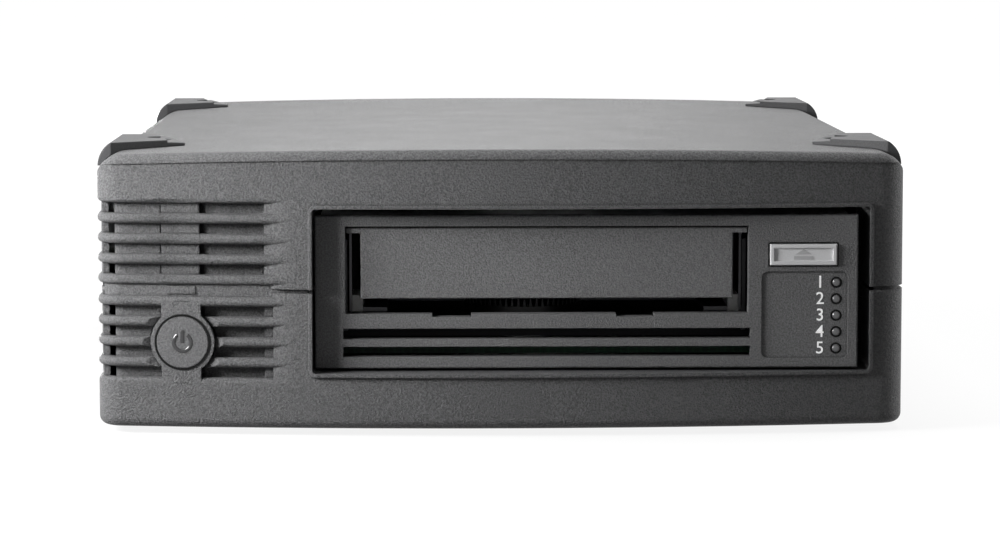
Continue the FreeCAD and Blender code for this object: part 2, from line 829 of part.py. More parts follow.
def make_base(whole):
    base = whole.common(box(-far, far, -far, far, 0, base_top))
    base = base.fuse([seam_tongue(0, tongue_height), seam_catch()])
    for x, y in screw_places():
        boss = upright(boss_radius + boss_base_extra, x, y, floor_top - 0.5, boss_split)
        base = base.fuse(boss).cut(upright(screw_radius + seat_gap, x, y, 0, boss_split + 1))
        base = base.cut(upright(screw_head_radius + seat_gap, x, y, 0, boss_split - boss_web))
    for x, y in supply_posts():
        base = base.fuse(upright(supply_post_radius, x, y, floor_top - 0.5, supply_board_z))
    for x, y in foot_places():
        base = base.cut(upright(foot_radius + running_gap, x, y, 0, foot_height + foot_seat))
    return base.removeSplitter()


def make_shell_screws():
    screws = []
    for x, y in screw_places():
        head_z = boss_split - boss_web
        head = upright(screw_head_radius, x, y, head_z - screw_head_height, head_z)
        screws.append(head.fuse(upright(screw_radius, x, y, head_z - 0.5, boss_split + screw_grip)))
    return Part.makeCompound(screws)


def make_baffle():
    """Stepped panel behind the vent: three faces at their own depths, parted by slits."""
    low = slot_places()[0][0] - vent_slot_height
    high = slot_places()[-1][0] + vent_slot_height
    before, behind = baffle_slit_right
    edges = ((vent_left + baffle_start, strip_left - baffle_slit_left),
             (strip_left, strip_right - before),
             (strip_right + behind, vent_right))
    rear = front_y(vent_left) + corner_radius
    back = box(vent_left + baffle_start, vent_right, -far, rear, low, high)
    panels = [back.common(band(baffle_back, baffle_back + baffle_sheet, low, high))]
    for (left, right), depth in zip(edges, baffle_depths):
        panel = box(left, right, -far, rear, low, high)
        panels.append(panel.common(band(depth, baffle_back + baffle_sheet / 2, low, high)))
    baffle = joined(panels)
    sleeve = inward(collar_radius() + seat_gap, power_x, power_z, front_apex, 0)
    return baffle.cut(sleeve)


def make_power_button():
    """Round cap that follows the bow, with a flange that keeps it in its collar and a stem."""
    front = front_y(power_x)
    back = front + collar_depth + power_back_gap
    cap = inward(power_radius, power_x, power_z, front_apex - 1, back + power_flange_thickness)
    cap = cap.common(outline_prism(lip_overhang - power_proud, 0, crown_top))
    flange = inward(power_radius + power_flange, power_x, power_z, back, back + power_flange_thickness)
    stem = inward(stem_radius, power_x, power_z, back, back + power_flange_thickness + stem_length)
    return joined([cap, flange, stem])


def make_switch_board():
    """Small upright board on its foot with the switch that the power button presses."""
    front = front_y(power_x) + collar_depth + power_back_gap + power_flange_thickness
    face = front + stem_length + power_travel + switch_height
    half = switch_size / 2
    board = box(power_x - switch_board_width / 2, power_x + switch_board_width / 2, face, face + board_thickness,
                floor_top, power_z + switch_board_rise)
    switch = box(power_x - half, power_x + half, face - switch_height, face, power_z - half, power_z + half)
    return board.fuse(switch)


# Stacking pads and feet

def pad_fronts():
    """Front ends of the front and the rear pads."""
    return (front_apex + front_pad_setback, rear_face - rear_pad_setback - pad_length)


def foot_places():
    x = half_width - dimple_inset
    return [(side * x, front + dimple_from_front) for front in pad_fronts() for side in (-1, 1)]


def make_pad(side, front, solid_body):
    """Corner pad that wraps the shoulder, with a lower inner step that runs to a point."""
    rear = front + pad_length
    low = pad_top - pad_foot_drop
    flat_end = half_width - pad_flat_inset
    flank_in, flank_down = pad_flank
    tip_x = half_width - pad_tip_inset
    rear_x = half_width - pad_rear_inset
    outer_x = half_width + pad_proud
    corner_x = half_width - pad_corner_inset
    at_front, at_rear = pad_step_width
    upper_x = tip_x + at_front
    profile = Part.Wire([
        Part.LineSegment(vec(tip_x, front, pad_top), vec(flat_end, front, pad_top)).toShape(),
        Part.Arc(vec(flat_end, front, pad_top), vec(half_width - flank_in, front, pad_top - flank_down),
                 vec(outer_x, front, low)).toShape(),
        Part.LineSegment(vec(outer_x, front, low), vec(tip_x, front, low)).toShape(),
        Part.LineSegment(vec(tip_x, front, low), vec(tip_x, front, pad_top)).toShape(),
    ])
    block = Part.Face(profile).extrude(vec(0, pad_length, 0))
    tip_y = front + pad_sweep
    slope = pad_sweep / (corner_x - tip_x)
    upper_plan = polygon([
        (outer_x + 1, front - 1, low), (corner_x, front, low), (upper_x, front + slope * (corner_x - upper_x), low),
        (rear_x + at_rear, rear, low), (outer_x + 1, rear, low),
    ]).extrude(vec(0, 0, far))
    lower_plan = polygon([
        (outer_x + 1, front - 1, low), (corner_x, front, low), (tip_x, tip_y, low),
        (rear_x, rear, low), (outer_x + 1, rear, low),
    ]).extrude(vec(0, 0, far))
    step_top = pad_top - pad_step_drop
    step_block = polygon([
        (tip_x, front, low), (tip_x, front, pad_top - pad_tip_drop), (upper_x, front, step_top),
        (flat_end, front, step_top), (flat_end, front, low),
    ]).extrude(vec(0, pad_length, 0))
    dimple_x = half_width - dimple_inset
    dimple = upright(dimple_radius, dimple_x, front + dimple_from_front, pad_top - dimple_depth, pad_top + 1)
    pad = block.common(upper_plan).fuse(step_block.common(lower_plan)).removeSplitter().cut(dimple)
    if side < 0:
        pad = pad.mirror(vec(0, 0, 0), vec(1, 0, 0))
    return pad.cut(solid_body)


def make_foot(x, y):
    foot = upright(foot_radius, x, y, 0, foot_height + foot_seat)
    return foot.makeChamfer(foot_chamfer, [edge for edge in foot.Edges if edge.BoundBox.ZMax < 0.1])


# Drive front

def make_bezel():
    plate = box(bezel_left, bezel_right, bezel_front, bezel_back, bezel_bottom, bezel_top)
    plate = rounded(plate, bezel_edge, lambda edge: edge.BoundBox.YMax < bezel_front + 0.01)
    skirts = [box(bezel_left, chassis_left - running_gap, bezel_back - 1, bezel_back + skirt_length,
                  bezel_bottom + skirt_inset, bezel_top - skirt_inset),
              box(chassis_right + running_gap, bezel_right, bezel_back - 1, bezel_back + skirt_length,
                  bezel_bottom + skirt_inset, bezel_top - skirt_inset)]
    cuts = [box(slot_left, slot_right, bezel_front - 1, bezel_back + 1, slot_bottom, slot_top)]
    for start, end in notch_spans:
        cuts.append(box(slot_left + start, slot_left + end, bezel_front - 1, bezel_back + 1,
                        slot_bottom - notch_depth, slot_top))
    for low, high in grille_spans:
        cuts.append(box(slot_left - grille_overrun, slot_right + grille_overrun, bezel_front - 1, bezel_back + 1,
                        bezel_bottom + low, bezel_bottom + high))
    cuts.append(box(eject_left - eject_gap, eject_left + eject_width + eject_gap, bezel_front - 1, bezel_back + 1,
                    eject_bottom - eject_gap, eject_bottom + eject_height + eject_gap))
    recess = box(lights_left, lights_left + lights_width, bezel_front - 1, bezel_front + lights_depth,
                 lights_bottom, lights_bottom + lights_height)
    cuts.append(rounded(recess, lights_corner, lambda edge: is_along(edge, vec(0, 1, 0))))
    for z in light_heights():
        cuts.append(inward(light_radius + running_gap, light_x, z, bezel_front - 1, bezel_back + 1))
        cuts.append(inward(light_well, light_x, z, bezel_front, bezel_front + lights_depth + light_well_depth))
    pin_reach = slot_width / 2 + door_pin_length + seat_gap
    cuts.append(rod(door_pin_radius + running_gap, (slot_centre - pin_reach, door_axis_y, door_axis_z),
                    (1, 0, 0), 2 * pin_reach))
    return joined([plate] + skirts).cut(cuts)


def light_heights():
    return [bezel_bottom + light_rise - light_pitch * k for k in range(light_count)]


def make_lights():
    lenses = []
    for z in light_heights():
        floor = bezel_front + lights_depth
        pipe = inward(light_radius, light_x, z, floor, bezel_back + lens_reach)
        lenses.append(pipe.makeChamfer(light_tip, [edge for edge in pipe.Edges if edge.BoundBox.YMax < floor + 0.01]))
    return Part.makeCompound(lenses)


def make_door():
    """Flap that hangs on two stub pins, with a wide upper flange and a narrower panel."""
    y0 = door_axis_y - door_barrel
    y1 = door_axis_y + door_barrel
    left = slot_left + door_gap
    right = slot_right - door_gap
    panel_left = slot_left + door_panel_inset
    panel_right = slot_right - door_panel_inset
    panel_bottom = slot_bottom + door_panel_rise
    flange_bottom = door_axis_z - door_flange_drop
    barrel = rod(door_barrel, (left, door_axis_y, door_axis_z), (1, 0, 0), right - left)
    flange = box(left, right, y0, y1, flange_bottom, door_axis_z)
    panel = box(panel_left, panel_right, y0, y1, panel_bottom, door_axis_z)
    panel = rounded(panel, door_edge_radius,
                    lambda edge: edge.BoundBox.YMax < y0 + 0.01 and edge.BoundBox.ZMin < door_axis_z - 1)
    pin = rod(door_pin_radius, (left - door_pin_length, door_axis_y, door_axis_z), (1, 0, 0),
              right - left + 2 * door_pin_length)
    low, high = door_rib_ends
    ribs = [box(x - door_rib_width / 2, x + door_rib_width / 2, y1, y1 + door_rib_height,
                panel_bottom + low, flange_bottom - high)
            for x in (panel_left + door_rib_inset, slot_centre, panel_right - door_rib_inset)]
    return joined([barrel, flange, panel, pin] + ribs)


def make_eject_button():
    y0 = bezel_front - eject_proud
    left = eject_left
    right = eject_left + eject_width
    bottom = eject_bottom
    top = eject_bottom + eject_height
    cap = box(left, right, y0, bezel_back + eject_stand, bottom, top)
    cap = rounded(cap, eject_edge, lambda edge: edge.BoundBox.YMax < y0 + 0.01)
    dish = box(left + eject_rim, right - eject_rim, y0 - 1, y0 + eject_dish, bottom + eject_rim, top - eject_rim)
    flange = box(left - eject_flange, right + eject_flange, bezel_back + eject_stand,
                 bezel_back + eject_stand + eject_flange, bottom - eject_flange, top + eject_flange)
    return cap.fuse(flange).cut(dish).removeSplitter()


def make_front_board():
    """Board behind the bezel with the eject switch and the status light chips."""
    face = bezel_back + lens_reach + chip_height
    board = box(lights_left - 1, chassis_right - chassis_wall - seat_gap, face, face + board_thickness,
                bezel_bottom + front_board_rise, chassis_top - lid_thickness - seat_gap)
    middle_x = eject_left + eject_width / 2
    middle_z = eject_bottom + eject_height / 2
    plunger = bezel_back + 2 * eject_stand + eject_flange + eject_travel
    half = switch_size / 2
    parts = [board, box(middle_x - half, middle_x + half, plunger, face, middle_z - half, middle_z + half)]
    half = chip_size / 2
    for z in light_heights():
        parts.append(box(light_x - half, light_x + half, face - chip_height, face, z - half, z + half))
    return joined(parts)


# Drive chassis and what it carries

def make_chassis():
    """Cast frame: two walls, a deck, a rear wall, bearings, posts and tray guides."""
    walls_top = chassis_top - lid_thickness
    left = box(chassis_left, chassis_left + chassis_wall, bezel_back, chassis_rear, chassis_bottom, walls_top)
    right = box(chassis_right - chassis_wall, chassis_right, bezel_back, chassis_rear, chassis_bottom, walls_top)
    deck = box(chassis_left, chassis_right, bezel_back + deck_setback, chassis_rear, deck_bottom, deck_top)
    rear = box(chassis_left, chassis_right, chassis_rear - chassis_wall, chassis_rear, deck_bottom, walls_top)
    parts = [left, right, deck, rear]
    for x, y in roller_places:
        parts.append(upright(post_radius * 2, x, y, deck_top - 0.5, tape_bottom - roller_lower - seat_gap))
        parts.append(upright(post_radius, x, y, deck_top - 0.5, tape_bottom + tape_width + post_rise))
    for x, y in head_posts():
        parts.append(upright(post_radius, x, y, deck_top - 0.5, walls_top - 1))
    for x, y in board_posts():
        parts.append(upright(board_post_radius, x, y, drive_board_top, deck_bottom + 0.5))
    for side in (-1, 1):
        for y in lift_pins_y:
            parts.append(tray_guide(side, y))
    chassis = joined(parts)
    cuts = [upright(spindle_radius + running_gap, reel_driver_x, reel_driver_y, 0, far),
            upright(spindle_radius + running_gap, takeup_x, takeup_y, 0, far)]
    for x, y, z, direction in rail_screw_places():
        cuts.append(rod(screw_radius + running_gap, (x - 5, y, z), (1, 0, 0), 10))
    return chassis.cut(cuts)


def tray_guide(side, y):
    """Upright plate with a slot that lets a lift pin move only up and down."""
    wall_x = tray_left if side < 0 else tray_right
    inner = wall_x + side * (2 * lift_gap + slider_thickness)
    x0 = min(inner, inner + side * slider_thickness)
    half = guide_plate_length / 2
    plate = box(x0, x0 + slider_thickness, y - half, y + half, deck_top - 0.5, lift_pin_z + plate_rise)
    low = lift_pin_z - tray_drop
    reach = lift_pin_radius + pin_clearance
    groove = box(x0 - 1, x0 + slider_thickness + 1, y - reach, y + reach, low, lift_pin_z + plate_rise + 1)
    end = rod(reach, (x0 - 1, y, low), (1, 0, 0), slider_thickness + 2)
    return plate.cut([groove, end])


def make_slider():
    """Two side plates with slanting slots that lower the tray, joined by a bridge."""
    parts = []
    for side in (-1, 1):
        wall_x = tray_left if side < 0 else tray_right
        inner = wall_x + side * lift_gap
        x0 = min(inner, inner + side * slider_thickness)
        plate = box(x0, x0 + slider_thickness, slider_front, slider_rear, deck_top + seat_gap,
                    lift_pin_z + plate_rise)
        for y in lift_pins_y:
            plate = plate.cut(slanting_slot(x0, y))
        parts.append(plate)
    left = tray_left - lift_gap - slider_thickness
    right = tray_right + lift_gap + slider_thickness
    bridge_z = deck_top + seat_gap
    parts.append(box(left, right, slider_rear - slider_bridge, slider_rear, bridge_z, bridge_z + slider_thickness))
    return joined(parts)


def slanting_slot(x0, y):
    reach = lift_pin_radius + pin_clearance
    start = vec(x0 - 1, y, lift_pin_z)
    end = vec(x0 - 1, y - slider_travel, lift_pin_z - tray_drop)
    along = (end - start).normalize()
    across = vec(0, -along.z, along.y) * reach
    strip = polygon([tuple(point) for point in (start + across, end + across, end - across, start - across)])
    width = slider_thickness + 2
    ends = [rod(reach, tuple(point), (1, 0, 0), width) for point in (start, end)]
    return strip.extrude(vec(width, 0, 0)).fuse(ends)


def make_tray():
    """Folded sheet carriage: roof, two walls and the lips that carry the cartridge."""
    inner_left = tray_left + tray_sheet
    inner_right = tray_right - tray_sheet
    lips = [box(tray_left, tray_left + tray_lip_width, tray_front, tray_rear, tray_lip_bottom, tray_lip_top),
            box(tray_right - tray_lip_width, tray_right, tray_front, tray_rear, tray_lip_bottom, tray_lip_top)]
    notches = [box(inner_left, inner_left + guide_width, tray_front - 1, tray_front + guide_length, 0, tray_top),
               box(inner_right - guide_width, inner_right, tray_front - 1, tray_front + guide_length, 0, tray_top)]
    parts = [lip.cut(notches) for lip in lips]
    parts.append(box(tray_left, inner_left, tray_front, tray_rear, tray_lip_bottom, tray_top))
    parts.append(box(inner_right, tray_right, tray_front, tray_rear, tray_lip_bottom, tray_top))
    roof = box(tray_left, tray_right, tray_roof_front, tray_rear, tray_top - tray_sheet, tray_top)
    beside, before = tray_window_inset
    window = box(tray_left + beside, tray_right - beside, tray_roof_front + before, tray_rear - before, 0, far)
    parts.append(roof.cut(rounded(window, tray_window_radius, lambda edge: is_along(edge, vec(0, 0, 1)))))
    pin_length = 2 * lift_gap + 2 * slider_thickness + lift_pin_end
    root = tray_sheet / 4
    for y in lift_pins_y:
        parts.append(rod(lift_pin_radius, (tray_left - pin_length, y, lift_pin_z), (1, 0, 0), pin_length + root))
        parts.append(rod(lift_pin_radius, (tray_right - root, y, lift_pin_z), (1, 0, 0), pin_length + root))
    return joined(parts)


def make_lead_in(side):
    """Moulded lead-in let into the front of a tray lip."""
    wall_x = tray_left + tray_sheet if side < 0 else tray_right - tray_sheet
    inner_x = wall_x - side * guide_width
    x0 = min(wall_x, inner_x)
    top = tray_lip_bottom + guide_height
    block = box(x0, x0 + guide_width, tray_front, tray_front + guide_length, tray_lip_bottom, top)
    edges = [edge for edge in block.Edges if is_along(edge, vec(0, 1, 0)) and edge.BoundBox.ZMin > top - 0.01
             and abs(edge.BoundBox.XMin - inner_x) < 0.01]
    return block.makeChamfer(guide_chamfer, edges)


def make_reel_driver():
    """Toothed crown ring on a disc and spindle, which grips the cartridge's reel from below."""
    x, y = reel_driver_x, reel_driver_y
    disc_bottom = deck_top + seat_gap
    disc_top = disc_bottom + driver_disc_thickness
    parts = [
        upright(driver_ring_radius, x, y, disc_bottom, disc_top),
        ring(driver_ring_radius, driver_ring_inner, x, y, disc_bottom, driver_ring_z),
        upright(driver_hub_radius, x, y, disc_bottom, driver_ring_z - 0.5),
        upright(spindle_radius, x, y, deck_bottom - motor_height, disc_top),
    ]
    root = math.pi * driver_ring_radius / driver_teeth * driver_tooth_fill
    outer = driver_ring_radius - driver_tooth_inset
    tooth = polygon([
        (outer, -root, driver_ring_z - 0.2),
        (outer, root, driver_ring_z - 0.2),
        (outer, driver_tooth_tip / 2, driver_ring_z + driver_tooth_height),
        (outer, -driver_tooth_tip / 2, driver_ring_z + driver_tooth_height),
    ]).extrude(vec(-driver_tooth_length, 0, 0))
    for k in range(driver_teeth):
        copy = tooth.copy()
        copy.rotate(vec(0, 0, 0), vec(0, 0, 1), 360.0 * k / driver_teeth)
        copy.translate(vec(x, y, 0))
        parts.append(copy)
    return parts[0].fuse(parts[1:])


def make_reel_motor(x, y):
    """Flat motor under the deck, turning a spindle."""
    stator = upright(motor_radius, x, y, deck_bottom - motor_height, deck_bottom)
    return stator.cut(upright(spindle_radius + running_gap, x, y, 0, far))


def make_takeup_reel():
    x, y = takeup_x, takeup_y
    low = tape_bottom - reel_flange
    high = tape_bottom + tape_width
    reel = joined([
        upright(takeup_radius, x, y, low, tape_bottom),
        upright(takeup_hub_radius, x, y, low, high),
        upright(takeup_radius, x, y, high, high + reel_flange),
        upright(spindle_radius, x, y, deck_bottom - motor_height, low),
        upright(takeup_core_radius, x, y, deck_top + seat_gap, low),
    ])
    windows = []
    for k in range(takeup_windows):
        hole = upright(takeup_window_radius, x + takeup_window_place * takeup_radius, y, high - 1, high + reel_flange + 1)
        hole.rotate(vec(x, y, 0), vec(0, 0, 1), 360.0 * k / takeup_windows)
        windows.append(hole)
    hollow = ring(takeup_hub_radius - 2, takeup_core_radius, x, y, tape_bottom + takeup_hollow_floor, far)
    return reel.cut(windows + [hollow])


def make_roller(x, y):
    low = tape_bottom - roller_lower
    high = tape_bottom + tape_width + roller_upper
    wide = roller_radius + roller_flange
    barrel = upright(roller_radius, x, y, low, high)
    flanges = [upright(wide, x, y, low, low + roller_flange_height), upright(wide, x, y, high - roller_flange_height, high)]
    return joined([barrel] + flanges).cut(upright(post_radius + running_gap, x, y, 0, far))


def head_posts():
    dx, dy = head_post_offset
    return [(head_x + dx, head_y - dy), (head_x + dx, head_y + dy)]


def make_head_carriage():
    z0 = tape_bottom - carriage_margin
    z1 = tape_bottom + tape_width + carriage_margin
    front = head_x + head_depth
    start, end, half = carriage_waist
    block = box(front, front + carriage_depth, head_y - carriage_half_width, head_y + carriage_half_width, z0, z1)
    waist = box(front + start, front + end, head_y - half, head_y + half, z0 - 1, z1 + 1)
    bores = [upright(post_radius + running_gap, x, y, 0, far) for x, y in head_posts()]
    return block.cut([waist] + bores)


def make_tape_head():
    """Narrow rounded head block on the carriage, facing the tape."""
    z0 = tape_bottom - carriage_margin
    z1 = tape_bottom + tape_width + carriage_margin
    block = box(head_x, head_x + head_depth, head_y - head_half_width, head_y + head_half_width, z0, z1)
    return rounded(block, head_edge, lambda edge: is_along(edge, vec(0, 0, 1)) and edge.BoundBox.XMax < head_x + 0.1)


def make_head_actuator():
    """Coil housing behind the head carriage."""
    length, half, thickness = actuator_foot
    place, radius, height = actuator_coil
    x0 = head_x + actuator_start
    foot = box(x0, x0 + length, head_y - half, head_y + half, deck_top, deck_top + thickness)
    return foot.fuse(upright(radius, x0 + place, head_y, deck_top, deck_top + height))


def board_posts():
    front, rear = board_post_ends
    return [(x, y) for x in (chassis_left + board_post_inset, chassis_right - board_post_inset)
            for y in (bezel_back + front, chassis_rear - rear)]


def make_drive_board():
    z0 = drive_board_top - board_thickness
    left = chassis_left + chassis_wall + seat_gap
    right = chassis_right - chassis_wall - seat_gap
    front = bezel_back + board_setback
    board = box(left, right, front, chassis_rear + board_overrun, z0, drive_board_top)
    chips = []
    for dx, dy, size in board_chips:
        x = chassis_left + dx
        y = front + dy
        chips.append(box(x, x + size, y, y + size, drive_board_top, drive_board_top + board_chip_height))
    return board.fuse(chips)


def make_drive_connector():
    x0 = connector_left
    x1 = connector_left + connector_width
    y0 = chassis_rear + seat_gap
    y1 = y0 + connector_length
    top = drive_board_top + connector_height
    margin = (connector_height - connector_mouth) / 2
    body = box(x0, x1, y0, y1, drive_board_top, top)
    socket = box(x0 + connector_wall, x1 - connector_wall, y1 - connector_mouth, y1 + 1,
                 drive_board_top + margin, top - margin)
    return body.cut(socket)


def make_lid():
    z0 = chassis_top - lid_thickness
    lid = box(chassis_left, chassis_right, bezel_back, chassis_rear, z0, chassis_top)
    emboss = box(chassis_left + lid_emboss_inset, chassis_right - lid_emboss_inset, bezel_back + lid_emboss_front,
                 chassis_rear - lid_emboss_inset, chassis_top - lid_emboss, far)
    return lid.cut(rounded(emboss, lid_emboss_radius, lambda edge: is_along(edge, vec(0, 0, 1))))


def make_rail(side):
    """Folded bracket that carries one side of the drive on the floor of the base."""
    edge_x = chassis_left if side < 0 else chassis_right
    x0 = min(edge_x, edge_x + side * rail_thickness)
    upper = box(x0, x0 + rail_thickness, rail_front, rail_rear, floor_top, rail_top)
    flange_x = edge_x + side * rail_flange
    foot = box(min(edge_x, flange_x), max(edge_x, flange_x), rail_front, rail_rear, floor_top,
               floor_top + rail_thickness)
    window = box(x0 - 1, x0 + rail_thickness + 1, rail_front + rail_window_inset, rail_rear - rail_window_inset,
                 floor_top + rail_window_rise, rail_top - rail_window_drop)
    rail = upper.fuse(foot).cut(window)
    for x, y, z, direction in rail_screw_places():
        if direction == side:
            rail = rail.cut(rod(screw_radius + running_gap, (x - 5, y, z), (1, 0, 0), 10))
    return rail


def rail_screw_places():
    z = chassis_bottom + rail_screw_rise
    return [(chassis_left if side < 0 else chassis_right, y, z, side)
            for side in (-1, 1) for y in (rail_front + rail_screw_inset, rail_rear - rail_screw_inset)]


def make_drive_screws():
    screws = []
    for x, y, z, side in rail_screw_places():
        seat = x + side * rail_thickness
        head = rod(screw_head_radius, (seat, y, z), (side, 0, 0), drive_screw_head)
        screws.append(head.fuse(rod(screw_radius, (seat, y, z), (-side, 0, 0), rail_thickness + chassis_wall)))
    return Part.makeCompound(screws)


# Rear panel, fan, sockets and mains supply

def ring_slots(x, z, radii, width, count, bridge):
    """Concentric arc slots of a stamped finger guard, cut along Y."""
    cuts = []
    spokes = []
    for k in range(count):
        spoke = box(x - bridge / 2, x + bridge / 2, -far, far, z, z + fan_size)
        spoke.rotate(vec(x, 0, z), vec(0, 1, 0), 360.0 * k / count + 45)
        spokes.append(spoke)
    for radius in radii:
        outer = inward(radius + width / 2, x, z, panel_front - 1, rear_face)
        inner = inward(radius - width / 2, x, z, panel_front - 1, rear_face)
        cuts.append(outer.cut(inner).cut(spokes))
    return cuts


def fan_screw_places():
    pitch = fan_size / 2 - fan_screw_inset
    return [(fan_x + i * pitch, fan_z + j * pitch) for i in (-1, 1) for j in (-1, 1)]


def make_rear_panel():
    """Sheet panel with a folded foot, a stamped fan guard, vents and the socket cut-outs."""
    low = floor_top
    high = crown_top - rear_rim + panel_overlap
    side = half_width - rear_rim + panel_overlap
    plate = box(-side, side, panel_front, panel_back, low, high)
    foot = box(panel_foot_inset - side, side - panel_foot_inset, panel_front - panel_foot, panel_back,
               low, low + panel_thickness)
    cuts = ring_slots(fan_x, fan_z, fan_guard_radii, fan_guard_slot, fan_struts, fan_guard_bridge)
    for x, z in fan_screw_places():
        cuts.append(inward(screw_radius + running_gap, x, z, panel_front - 1, rear_face))
    cuts.append(box(inlet_x - inlet_half_width, inlet_x + inlet_half_width, panel_front - 1, rear_face,
                    inlet_z - inlet_half_height, inlet_z + inlet_half_height))
    for i in (-1, 1):
        cuts.append(inward(screw_radius + running_gap, inlet_x + i * inlet_screw_pitch / 2, inlet_z, panel_front - 1,
                           rear_face))
    cuts.append(box(data_x - data_half_width, data_x + data_half_width, panel_front - 1, rear_face,
                    data_z - data_half_height, data_z + data_half_height))
    for k in range(panel_vents):
        x = inlet_x + panel_vent_pitch * (k - (panel_vents - 1) / 2)
        vent = box(x - panel_vent_width / 2, x + panel_vent_width / 2, panel_front - 1, rear_face,
                   inlet_z + panel_vent_rise, high - panel_vent_drop)
        cuts.append(rounded(vent, panel_vent_radius, lambda edge: is_along(edge, vec(0, 1, 0))))
    return plate.fuse(foot).cut(cuts).removeSplitter()


def make_fan_frame():
    """Square frame with a round bore, four struts and the bearing hub."""
    half = fan_size / 2
    frame = box(fan_x - half, fan_x + half, fan_front, fan_back, fan_z - half, fan_z + half)
    frame = rounded(frame, fan_corner, lambda edge: is_along(edge, vec(0, 1, 0)))
    frame = frame.cut(inward(fan_bore_radius, fan_x, fan_z, fan_front - 1, fan_back + 1))
    hub_back = fan_back - fan_strut_recess / 3
    hub = inward(fan_hub_radius, fan_x, fan_z, fan_back - fan_bearing, hub_back)
    width, depth = fan_strut
    parts = [hub]
    for k in range(fan_struts):
        strut = box(fan_x + fan_hub_radius - 1, fan_x + fan_bore_radius + 1, fan_back - fan_strut_recess - depth,
                    fan_back - fan_strut_recess, fan_z - width / 2, fan_z + width / 2)
        strut.rotate(vec(fan_x, 0, fan_z), vec(0, 1, 0), 360.0 * k / fan_struts + 45)
        parts.append(strut)
    frame = frame.fuse(parts)
    cuts = [inward(fan_shaft_radius + running_gap, fan_x, fan_z, fan_front, fan_back - fan_strut_recess)]
    for x, z in fan_screw_places():
        cuts.append(inward(screw_radius + running_gap, x, z, fan_front - 1, fan_back + 1))
    return frame.cut(cuts)


def make_fan_rotor():
    """Hub, shaft and slanted blades."""
    hub_front = fan_front + 1
    hub_back = fan_back - fan_bearing - seat_gap
    hub = inward(fan_hub_radius, fan_x, fan_z, hub_front, hub_back)
    shaft = inward(fan_shaft_radius, fan_x, fan_z, hub_back - 0.5, fan_back - 2 * fan_strut_recess)
    tip = fan_bore_radius - fan_tip_gap
    middle = (hub_front + hub_back) / 2
    blade = box(fan_x - blade_width / 2, fan_x + blade_width / 2, middle - blade_thickness / 2,
                middle + blade_thickness / 2, fan_z + fan_hub_radius - 1.5, fan_z + tip + 2)
    blade.rotate(vec(fan_x, middle, fan_z), vec(0, 0, 1), blade_slant)
    blades = []
    for k in range(fan_blades):
        copy = blade.copy()
        copy.rotate(vec(fan_x, 0, fan_z), vec(0, 1, 0), 360.0 * k / fan_blades)
        blades.append(copy)
    reach = inward(tip, fan_x, fan_z, hub_front, hub_back)
    trimmed = Part.makeCompound(blades).common(reach)
    return hub.fuse([shaft] + trimmed.Solids)


def make_fan_screws():
    screws = []
    for x, z in fan_screw_places():
        head = inward(screw_head_radius, x, z, panel_back, panel_back + drive_screw_head)
        screws.append(head.fuse(inward(screw_radius, x, z, panel_back - fan_screw_length, panel_back + 0.5)))
    return Part.makeCompound(screws)


def make_inlet():
    """Mains inlet: flange on the panel, body behind it, recess with three blades."""
    back = panel_back
    ear, rim, thickness = inlet_flange
    half_wide, half_high, deep = inlet_recess
    reach = inlet_screw_pitch / 2 + ear
    flange = box(inlet_x - reach, inlet_x + reach, back, back + thickness,
                 inlet_z - inlet_half_height - rim, inlet_z + inlet_half_height + rim)
    body = box(inlet_x - inlet_half_width + seat_gap, inlet_x + inlet_half_width - seat_gap,
               back - inlet_depth, back + 1,
               inlet_z - inlet_half_height + seat_gap, inlet_z + inlet_half_height - seat_gap)
    recess = box(inlet_x - half_wide, inlet_x + half_wide, back - deep, back + thickness + 1,
                 inlet_z - half_high, inlet_z + half_high)
    recess = recess.makeChamfer(inlet_chamfer, [edge for edge in recess.Edges if is_along(edge, vec(0, 1, 0))
                                                and edge.BoundBox.ZMin > inlet_z])
    thick, high = inlet_blade
    root, tip = inlet_blade_ends
    blades = [box(inlet_x + dx - thick, inlet_x + dx + thick, back - root, back - tip,
                  inlet_z + dz - high, inlet_z + dz + high) for dx, dz in inlet_blade_places]
    holes = [inward(screw_radius + running_gap, inlet_x + i * inlet_screw_pitch / 2, inlet_z, back - 1, rear_face)
             for i in (-1, 1)]
    return flange.fuse(body).cut([recess] + holes).fuse(blades)


def make_inlet_screws():
    screws = []
    seat = panel_back + inlet_flange[2]
    for i in (-1, 1):
        x = inlet_x + i * inlet_screw_pitch / 2
        head = inward(screw_head_radius, x, inlet_z, seat, seat + inlet_screw_head)
        screws.append(head.fuse(inward(screw_radius, x, inlet_z, seat - inlet_screw_length, seat + inlet_screw_head / 2)))
    return Part.makeCompound(screws)


def make_data_socket():
    """Shielded data socket with an open mouth at the back."""
    half_wide = data_half_width - seat_gap
    half_high = data_half_height - seat_gap
    cage = box(data_x - half_wide, data_x + half_wide, panel_back - data_depth, panel_back + data_proud,
               data_z - half_high, data_z + half_high)
    half_wide = data_half_width - data_wall
    half_high = data_half_height - data_wall
    mouth = box(data_x - half_wide, data_x + half_wide, panel_back - data_mouth_depth, rear_face,
                data_z - half_high, data_z + half_high)
    half_wide = data_half_width + data_collar
    half_high = data_half_height + data_collar
    collar = box(data_x - half_wide, data_x + half_wide, panel_front - data_collar_thickness, panel_front,
                 data_z - half_high, data_z + half_high)
    return cage.fuse(collar).cut(mouth)


def supply_posts():
    dx, dy = supply_post_inset
    return [(x, y) for x in (supply_left + dx, supply_right - dx) for y in (supply_front + dy, supply_rear - dy)]


def make_supply_board():
    return box(supply_left, supply_right, supply_front, supply_rear, supply_board_z, supply_top)


